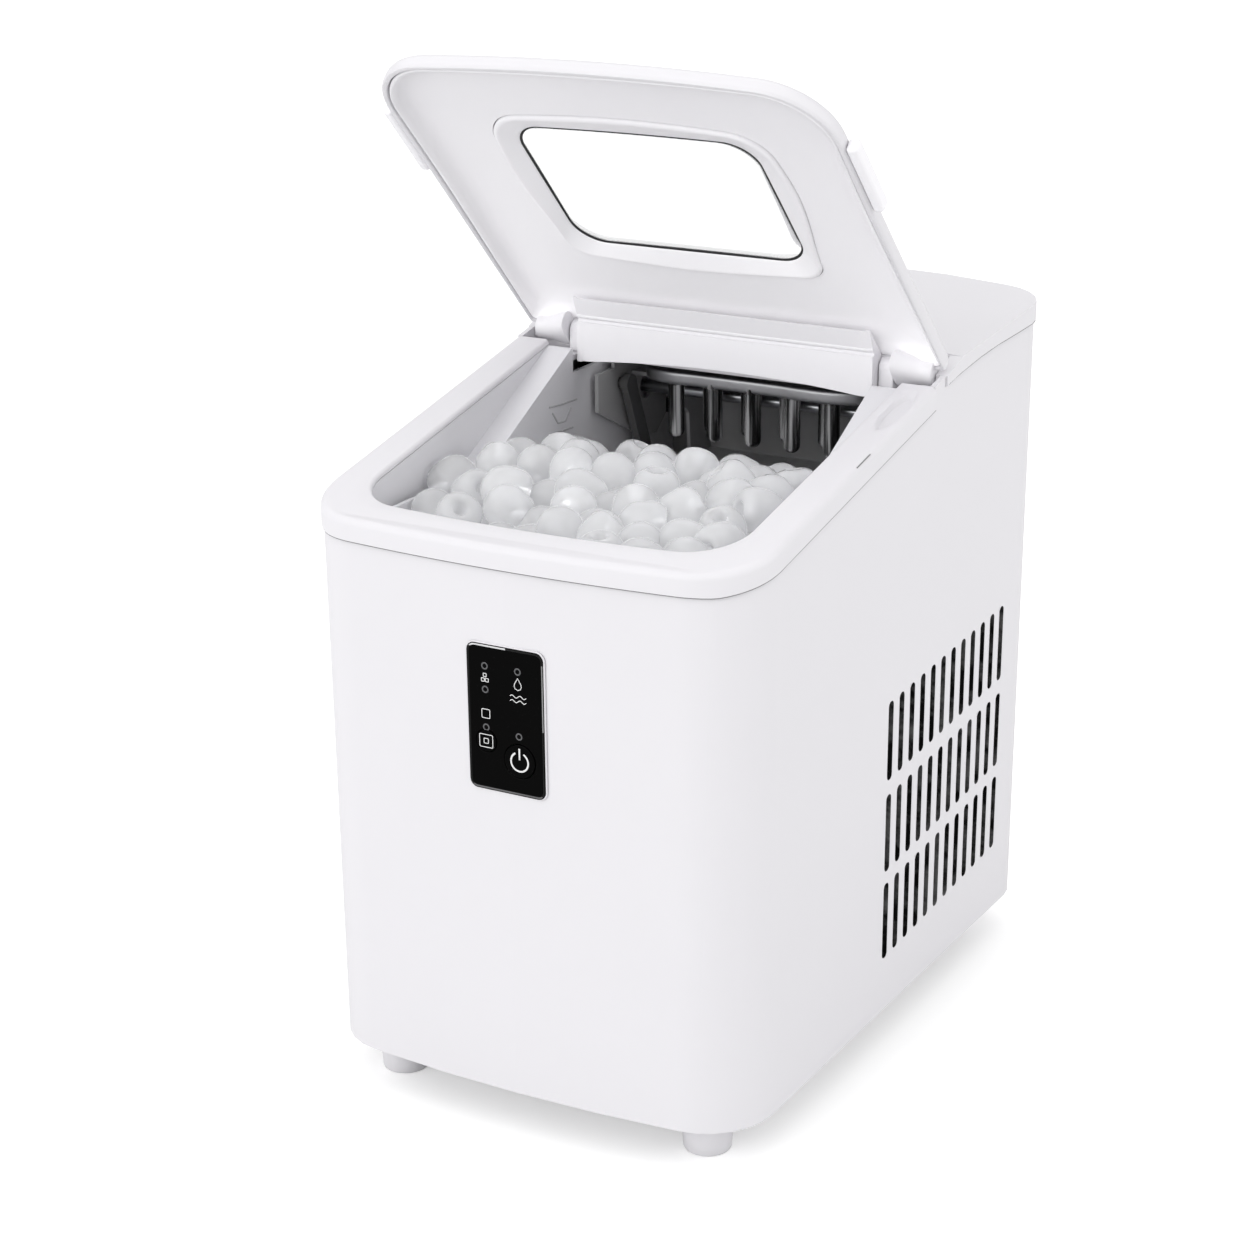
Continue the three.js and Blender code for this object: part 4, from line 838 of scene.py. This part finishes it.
def makeLid():
    top, edge, crown = lid["height"], lid["edgeRound"], lid["crown"]
    cover = [("outer", 3.0, 1.4), ("outer", 2.7, 0.6), ("outer", 1.7, 0.2), ("outer", 0.7, 0.35),
             ("outer", 0.15, 1.0), ("outer", 0, 2.0)]
    cover += roundOver("outer", edge, top, 8)
    cover += [("outer", 13, top + 0.8), ("outer", 24, top + 2.0), ("share", 0.75, crown - 0.2),
              ("inner", 1.4, crown), ("inner", 0.4, crown - 0.1), ("inner", 0, crown - 0.6),
              ("inner", 0, crown - 1.4), ("share", 0.75, crown - 1.6), ("outer", 24, top + 0.5),
              ("outer", 12, top - 1.1), ("outer", 3.3, 6.8), ("outer", 3.0, 6.2)]
    addLidPart("lid_cover_skin", lidRing(cover), "casing", replaced=["lid_cover"])
    liner = [("outer", 3.4, 1.9), ("outer", 3.7, 1.2), ("outer", 4.4, 0.9), ("outer", 5.4, 1.2),
             ("outer", 7.0, 3.0), ("outer", 9.0, 5.0), ("outer", 12, 6.4), ("outer", 16, 7.2),
             ("share", 0.45, 7.7), ("share", 0.6, 7.9), ("inner", 12.6, 8.0), ("inner", 12.4, 8.8),
             ("share", 0.5, 8.8), ("outer", 17, 8.1), ("outer", 10, 6.6), ("outer", 6.0, 4.6),
             ("outer", 3.4, 3.4)]
    # beside the hinge bar the lining's lower points are raised clear of the bar
    grid = lidRing(liner)
    relief = lid["relief"]
    nearHinge = np.clip((grid[..., 1] - relief["start"]) / relief["run"], 0, 1)
    nearHinge = nearHinge * (np.abs(grid[..., 0]) < relief["halfWidth"])
    grid[..., 2] += nearHinge * np.clip(relief["height"] - grid[..., 2], 0, None)
    addLidPart("lid_liner_skin", grid, "lidInside", replaced=["lid_liner"])
    surround = [("inner", 12.1, 8.6), ("inner", 12.0, 7.6), ("inner", 11.6, 7.0), ("inner", 10.8, 6.7),
                ("inner", 9.8, 6.7), ("inner", 9.0, 7.0), ("inner", 1.6, 9.3), ("inner", 0.6, 9.7),
                ("inner", 0.1, 10.2), ("inner", 0, 10.8), ("inner", 3.0, 10.6), ("inner", 11.0, 9.4)]
    addLidPart("window_surround", lidRing(surround), "lidInside", replaced=["window_frame"])
    gasket = [("inner", 0.3, 9.95), ("inner", -0.75, 10.1), ("inner", -0.9, 10.4), ("inner", -0.75, 10.7),
              ("inner", 0.3, 10.7)]
    addLidPart("window_gasket", lidRing(gasket), "rubber", slot="black_rubber")
    for side in ("left", "right"):
        soften("lid_grip_" + side, "lid", 1.6)


# pane: the window's outline drawn in to the middle in rings, once for each face
def makePane():
    outline = closedOutline(glazing)
    middle = outline.mean(0)
    rings = []
    for share, height in [(0, 10.9), (0.5, 10.9), (0.9, 10.9), (0.985, 10.9), (0.995, 11.1), (0.995, 12.1),
                          (0.985, 12.3), (0.9, 12.3), (0.5, 12.3), (0, 12.3)]:
        ring = middle + (outline - middle) * share
        rings.append(np.column_stack([ring, np.full(len(ring), height)]))
    addLidPart("window_pane", np.stack(rings, 1), "clear", slot="clear_window", replaced=["lid_window"])


makeLid()
makePane()


# hinge bar: its section carried across the lid, the lower front edge rising to a shallow arch in the
# middle, with a fine groove under the top edge and end cheeks that stand a little proud
hingeBar = {
    "arch": 3.6, "archEnd": 6, "lowerEdge": 7.0, "blend": 6.0, "cheek": 2.0, "step": 0.4, "shrink": 0.97,
    "section": [(-14.7, -0.9), (-15.0, -0.4), (-23.9, 3.2), (-23.6, 3.7), (-4, 3.7), (5.6, -2.9),
                (9.7, -7.7), (10.3, -8.5), (9.9, -9.2), (1.9, -16.2), (1.2, -16.6), (0.7, -16.2),
                (-12.4, -2.9), (-11.3, -2.0), (-12.3, -0.8), (-14.0, -1.3)],
}


def makeBar():
    half = sizesOf("hinge_bar")[1][0]
    section = np.array(hingeBar["section"])
    cheek, step = hingeBar["cheek"], hingeBar["step"]
    ends = np.array([-half, -half + step, -half + cheek, -half + cheek + step])
    run = np.linspace(ends[-1], -ends[-1], 61)[1:-1]
    stations = np.concatenate([ends, run, -ends[::-1]])
    centre = section.mean(0)
    shrink = np.where(np.abs(stations) < half - cheek - 0.1, hingeBar["shrink"], 1.0)
    shrink[[0, -1]] = hingeBar["shrink"]
    rows = centre + (section[None] - centre) * shrink[:, None, None]
    fromMiddle = np.clip(np.abs(stations) / (half - hingeBar["archEnd"]), 0, 1)
    arch = hingeBar["arch"] * (1 - fromMiddle**2)
    downwards = np.array([math.sin(math.radians(lid["open"])), -math.cos(math.radians(lid["open"]))])
    depth = section @ downwards
    lower = np.clip((depth - depth.max() + hingeBar["lowerEdge"]) / hingeBar["blend"], 0, 1)
    lift = arch[:, None] * lower[None]
    y = rows[..., 0] - lift * downwards[0]
    z = rows[..., 1] - lift * downwards[1]
    x = np.broadcast_to(stations[:, None], y.shape)
    addLidPart("hinge_bar_cover", np.stack([x, y, z], -1), "lid", False, replaced=["hinge_bar"], sharp=28)


# knuckles: each tapers from a tall flat end beside its bracket to a round barrel on the pin
knuckle = {
    "barrel": 6.0, "wideCentre": (-2.0, -1.0), "wideReach": (10.5, 6.0), "squareness": 0.7,
    "taper": 0.7, "taperPower": 0.8, "endShrink": 0.96,
    "stations": (0, 0.02, 0.12, 0.3, 0.5, 0.66, 0.78, 0.86, 0.98, 1.0),
}


def makeKnuckles():
    low, high = sizesOf("hinge_knuckle_right")
    near, far = low[0], high[0]
    around = np.stack(fullTurn(28), -1)
    squarish = np.sign(around) * np.abs(around) ** knuckle["squareness"]
    wide = np.array(knuckle["wideCentre"]) + squarish * knuckle["wideReach"]
    rows = []
    for share in knuckle["stations"]:
        fade = min(share / knuckle["taper"], 1) ** knuckle["taperPower"]
        ring = wide * (1 - fade) + knuckle["barrel"] * around * fade
        ring = ring * (knuckle["endShrink"] if share in (0, 1.0) else 1.0)
        rows.append(np.column_stack([np.full(len(ring), near + (far - near) * share), ring]))
    right = np.stack(rows, 0)
    for side, name in ((1, "right"), (-1, "left")):
        grid = (right * (side, 1, 1))[::side]
        addLidPart("knuckle_web_" + name, grid, "lid", False, replaced=["hinge_knuckle_" + name])


makeBar()
makeKnuckles()


def reachBar(made):
    # draw the bracket's inner end out to just short of the bar
    end = sizesOf("hinge_bar")[1][0] + 0.5
    inner = min(abs(vert.co.x) for vert in made.verts)
    for vert in made.verts:
        if abs(vert.co.x) < inner + 0.5 * mm:
            vert.co.x = math.copysign(end * mm, vert.co.x)


for side in ("left", "right"):
    soften("hinge_bracket_" + side, "lid", 0.5, shape=reachBar)
    soften("hinge_pin_" + side, "steel", 0.3)
print("lid made")


# ice chamber
soften("liner_tub", "liner", 0.8)
soften("ice_basket", "liner", 0.5)


# raised marks on the chamber's left wall: two nearly level lines and a blunt arrow between them
wallMarks = {"x": -78.85, "width": 0.8, "raised": 0.4, "lines": [
    [(5, 288.0), (17, 287.0), (31, 286.4)], [(4, 275.0), (14, 274.2), (27, 273.4)],
    [(8, 284.5), (13, 278.5), (20, 278.0), (25, 283.5)],
]}


def makeWallMarks():
    paths = []
    for line in wallMarks["lines"]:
        along = np.linspace(line[0][0], line[-1][0], 25)
        paths.append(np.column_stack([along, np.interp(along, *zip(*line))]))
    points, faces = joinStrips(paths, wallMarks["width"], 0.0)
    points = np.column_stack([np.full(len(points), wallMarks["x"]), points[:, 0], points[:, 2]])
    piece = addPiece("wall_marks", points, faces, "mark", "casing", slot="white_liner")
    thicken(piece, "raised", wallMarks["raised"])


makeWallMarks()


# bullet of ice: a rounded dome, a short barrel, a rounded lip and a finger hole up its open end
iceShape = {"radius": 10.8, "length": 23.0, "shoulder": 8.0, "hole": 3.0, "holeDepth": 9.0}
heap = {
    "count": 340, "spacing": 18.8, "floor": 203, "rounds": 300, "still": 60, "push": 0.33, "fall": 0.15,
    "seed": 7, "topLayer": 26, "cover": 10.0,
    "surfaceY": [-138, -110, -75, -40, -10, 10, 24],
    "surfaceZ": [277, 280, 284, 286, 281, 274, 266],
}
# the room for the pieces' centres: half widths below and above the basket's edge, wider in front of a
# step and narrower behind it, cut in at the front corners, and reaching further back above the chute
room = {
    "start": ((-80, 80), (-128, 10), (heap["floor"], 276)),
    "edge": 262, "step": -56, "front": (77.0, 81.5), "rear": (63.5, 67.5),
    "corner": -114, "cornerReach": 26, "cornerCut": 0.028,
    "frontY": -128.5, "chute": 236, "rearY": (-20.5, 14),
}


def bulletProfile(fine):
    r, length, hole, deep = (iceShape[key] for key in ("radius", "length", "hole", "holeDepth"))
    angles = np.linspace(0, math.pi / 2, 7 if fine else 4)
    dome = [(r * math.sin(a), -length / 2 + r * (1 - math.cos(a))) for a in angles]
    top, shoulder = length / 2, iceShape["shoulder"]
    if not fine:
        return dome + [(r * 0.95, top - 4), (r * 0.6, top - 0.6), (0, top - 1.5)]
    turn = np.linspace(0.15, math.pi / 2, 6)
    lip = [(r * (0.42 + 0.58 * math.cos(a)), top - shoulder * (1 - math.sin(a))) for a in turn]
    return dome + lip + [(hole, top - 1.2), (hole * 0.8, top - deep + 2.5), (0, top - deep)]


def heapTop(x, y):
    # the heap's surface: rises from the front to the middle and falls to the chute at the back
    rise = np.interp(y, heap["surfaceY"], heap["surfaceZ"])
    return rise + 2.5 * np.sin(x / 17.0 + 1.0) * np.cos(y / 21.0)


# loose packing: centres are pushed apart where they are closer than one piece, pulled down, and kept
# inside the basket and the tub above it, until they come to rest
def packedCentres():
    rng = np.random.default_rng(heap["seed"])
    count, gap = heap["count"], heap["spacing"]
    place = np.stack([rng.uniform(low, high, count) for low, high in room["start"]], -1)
    for turn in range(heap["rounds"]):
        offset = place[:, None] - place[None]
        distance = np.linalg.norm(offset, axis=2) + np.eye(count) * 99
        push = np.clip(gap - distance, 0, None) / distance
        place += heap["push"] * (offset * push[..., None]).sum(1)
        place[:, 2] -= heap["fall"] * (turn < heap["rounds"] - heap["still"])
        above = place[:, 2] > room["edge"]
        front, rear = (np.where(above, high, low) for low, high in (room["front"], room["rear"]))
        halfWidth = np.where(place[:, 1] < room["step"], front, rear)
        cornerIn = np.clip(room["corner"] - place[:, 1], 0, room["cornerReach"])
        halfWidth = halfWidth - room["cornerCut"] * cornerIn**2
        place[:, 0] = np.clip(place[:, 0], -halfWidth, halfWidth)
        rearY = np.where(place[:, 2] < room["chute"], *room["rearY"])
        place[:, 1] = np.clip(place[:, 1], room["frontY"], rearY)
        ceiling = heapTop(place[:, 0], place[:, 1]) - heap["cover"]
        place[:, 2] = np.clip(place[:, 2], heap["floor"], np.maximum(ceiling, heap["floor"]))
    return place


def randomTurns(count, seed):
    rng = np.random.default_rng(seed)
    w, x, y, z = unit(rng.normal(size=(count, 4))).T
    rows = [[1 - 2 * (y * y + z * z), 2 * (x * y - z * w), 2 * (x * z + y * w)],
            [2 * (x * y + z * w), 1 - 2 * (x * x + z * z), 2 * (y * z - x * w)],
            [2 * (x * z - y * w), 2 * (y * z + x * w), 1 - 2 * (x * x + y * y)]]
    return np.moveaxis(np.array(rows), -1, 0)


def makeIce():
    places = packedCentres()
    turns = randomTurns(len(places), heap["seed"] + 1)
    onTop = places[:, 2] > heapTop(places[:, 0], places[:, 1]) - heap["topLayer"]
    for name, chosen, sides, fine in (("ice_top", onTop, 16, True), ("ice_below", ~onTop, 8, False)):
        grid = turnedGrid(bulletProfile(fine), sides)
        addCopies(name, grid, turns[chosen], places[chosen], "ice", "basket", slot="clear_window", sharp=75)
        print(name, chosen.sum(), "pieces")


makeIce()
print("ice made")


# evaporator
evaporator = {
    "fingers": [(21 * step, 64) for step in range(-2, 3)] + [(21 * step - 10.5, 80) for step in range(-1, 3)],
    "fingerRadius": 4, "domeRise": 3.6, "collarRadius": 4.6,
    "tip": 264.5, "header": 295.0, "tube": 3.5, "flatWidth": 4.5,
    "route": [(-58, 138), (-58, 105), (-58, 75), (-55, 67), (-48, 64), (-30, 64), (10, 64), (46, 64),
              (52, 66.5), (56, 72), (52, 77.5), (46, 80), (10, 80), (-30, 80), (-40, 80), (-45.5, 82.5),
              (-48, 88), (-48, 110), (-48, 138)],
}


def makeEvaporator():
    tip, top = evaporator["tip"], evaporator["header"]
    radius, rise, collar = evaporator["fingerRadius"], evaporator["domeRise"], evaporator["collarRadius"]
    angles = np.linspace(0, math.pi / 2, 7)
    dome = [(radius * math.sin(a), tip + rise * (1 - math.cos(a))) for a in angles]
    stem = [(radius, top - 4), (collar, top - 3.2), (collar, top - 1), (0, top - 1)]
    grid = turnedGrid(dome + stem, 28)
    places = np.array([(x, y, 0.0) for x, y in evaporator["fingers"]])
    addCopies("evaporator_fingers", grid, np.eye(3), places, "chrome", "casing", slot="plated")
    route = np.array([(x, y, top) for x, y in evaporator["route"]])
    path = smoothPath(route, 120)
    tube = tubeGrid(path, evaporator["tube"], 32)
    # the round section is pressed to a flat-sided bar: each point moves out to a superellipse of power 5
    offset = (tube - path[:, None]) / evaporator["tube"]
    high, level = np.abs(offset[..., 2]), np.hypot(offset[..., 0], offset[..., 1])
    offset = offset * ((high ** 5 + level ** 5) ** -0.2)[..., None]
    tube = path[:, None] + offset * (evaporator["flatWidth"], evaporator["flatWidth"], evaporator["tube"])
    addLoft("evaporator_header", tube, "header", "casing", False, replaced=["evaporator"], slot="plated")


makeEvaporator()
print("evaporator made")


# every other node keeps its own shape: its finish, and by how much its edges are rounded
others = {
    "panel_housing": ("black", 0.4), "control_board": ("board", 0.15), "tub_insulation": ("foam", 0.0),
    "evaporator_bracket_left": ("bracket", 0.4), "evaporator_bracket_right": ("bracket", 0.4),
    "ribbed_back_plate": ("smoke", 0.5), "water_tray": ("tray", 0.5), "tray_shaft": ("steel", 0.3),
    "tray_motor": ("black", 0.8), "tray_bush": ("steel", 0.3), "ice_shovel": ("slate", 0.4),
    "ice_chute": ("liner", 0.4), "ice_sensor_left": ("black", 0.8), "ice_sensor_right": ("black", 0.8),
    "water_pump": ("black", 0.8), "pump_hose": ("rubber", 0.0), "drain_fitting": ("black", 0.5),
    "drain_plug": ("casing", 0.4), "compressor": ("enamel", 0.6), "compressor_grommet_1": ("rubber", 0.8),
    "compressor_grommet_2": ("rubber", 0.8), "compressor_grommet_3": ("rubber", 0.8),
    "condenser": ("fins", 0.0), "fan_shroud": ("black", 0.5), "fan_motor": ("black", 0.8),
    "fan_blade": ("black", 0.3), "suction_pipe": ("copper", 0.0), "hot_gas_valve": ("copper", 0.2),
    "discharge_pipe": ("copper", 0.0), "filter_drier": ("copper", 0.0), "power_inlet": ("black", 0.4),
}
for node, (finish, edge) in others.items():
    soften(node, finish, edge, sharp=50 if finish in ("copper", "rubber", "enamel") else 32)
print("inner works made")


# floor, light and camera
studio = {
    "floor": 0.80,
    "glow": 0.33,
    "ambient": 0.50,
    "softboxes": {
        "frontLight": ((-0.3, -1, 0.14), 1.6, 60),
        "sideLight": ((1, 0.3, 0.35), 1.2, 60),
        "topLight": ((-0.25, -0.15, 1), 1.7, 110),
    },
}


# one where the camera sees a thing, straight or through something clear, and nought elsewhere
def seenRays(tree):
    rays = tree.nodes.new("ShaderNodeLightPath")
    return Wire(tree, rays.outputs["Is Camera Ray"]) + Wire(tree, rays.outputs["Is Transmission Ray"])


def makeFloor():
    radius = np.concatenate([[0.0], np.geomspace(0.2, 9.0, 24)]) / mm
    profile = np.stack([radius, np.zeros_like(radius)], -1)
    grid = turnedGrid(profile, 64)
    mesh = bpy.data.meshes.new("floor")
    points = (grid.reshape(-1, 3) * mm).tolist()
    mesh.from_pydata(points, [], quads(*grid.shape[:2], aroundColumns=True)[:, ::-1].tolist())
    floor = bpy.data.objects.new("floor", mesh)
    scene.collection.objects.link(floor)
    finish = Finish("paleFloor", {"Roughness": 0.8, "Specular IOR Level": 0.1})
    tone = finish.noise(3.0)
    low = studio["floor"]
    finish.tint(tone, (low, low, low), (low * 1.01, low * 1.01, low * 1.01))
    tree = finish.tree
    glow = tree.nodes.new("ShaderNodeEmission")
    plug(tree, glow.inputs["Strength"], seenRays(tree) * studio["glow"])
    joined = tree.nodes.new("ShaderNodeAddShader")
    tree.links.new(finish.shader.outputs[0], joined.inputs[0])
    tree.links.new(glow.outputs[0], joined.inputs[1])
    tree.links.new(joined.outputs[0], tree.nodes["Material Output"].inputs["Surface"])
    floor.data.materials.append(finish.material)


def makeWorld():
    world = bpy.data.worlds.new("studio")
    scene.world = world
    world.use_nodes = True
    tree = world.node_tree
    background = tree.nodes["Background"]
    background.inputs["Color"].default_value = (1, 1, 1, 1)
    shown = (seenRays(tree) > 0.5) * (1.0 - studio["ambient"]) + studio["ambient"]
    plug(tree, background.inputs["Strength"], shown)


# a broad, even softbox far away: light from one direction with a wide spread
def addSoftbox(name, direction, strength, spread):
    data = bpy.data.lights.new(name, "SUN")
    data.energy = strength
    data.angle = math.radians(spread)
    lamp = bpy.data.objects.new(name, data)
    lamp.rotation_euler = Vector(direction).to_track_quat("Z", "Y").to_euler()
    scene.collection.objects.link(lamp)


view = {
    "place": (0.58308, -1.07364, 0.60951), "pitch": 21.8617, "yaw": 29.2415, "roll": -0.2977,
    "lens": 77.97, "sensor": 36.0, "shift": (-0.02422, 0.1134),
}


def makeCamera():
    data = bpy.data.cameras.new("camera")
    data.lens = view["lens"]
    data.sensor_width = view["sensor"]
    data.shift_x, data.shift_y = view["shift"]
    data.clip_start, data.clip_end = 0.05, 50.0
    camera = bpy.data.objects.new("camera", data)
    pitch, yaw, roll = (math.radians(view[angle]) for angle in ("pitch", "yaw", "roll"))
    level = math.pi / 2 - pitch
    turn = Matrix.Rotation(yaw, 4, "Z") @ Matrix.Rotation(level, 4, "X") @ Matrix.Rotation(roll, 4, "Z")
    camera.matrix_world = Matrix.Translation(view["place"]) @ turn
    scene.collection.objects.link(camera)
    scene.camera = camera


makeFloor()
makeWorld()
for name, (direction, strength, spread) in studio["softboxes"].items():
    addSoftbox(name, direction, strength, spread)
makeCamera()
scene.view_settings.view_transform = "Standard"
print("studio made")
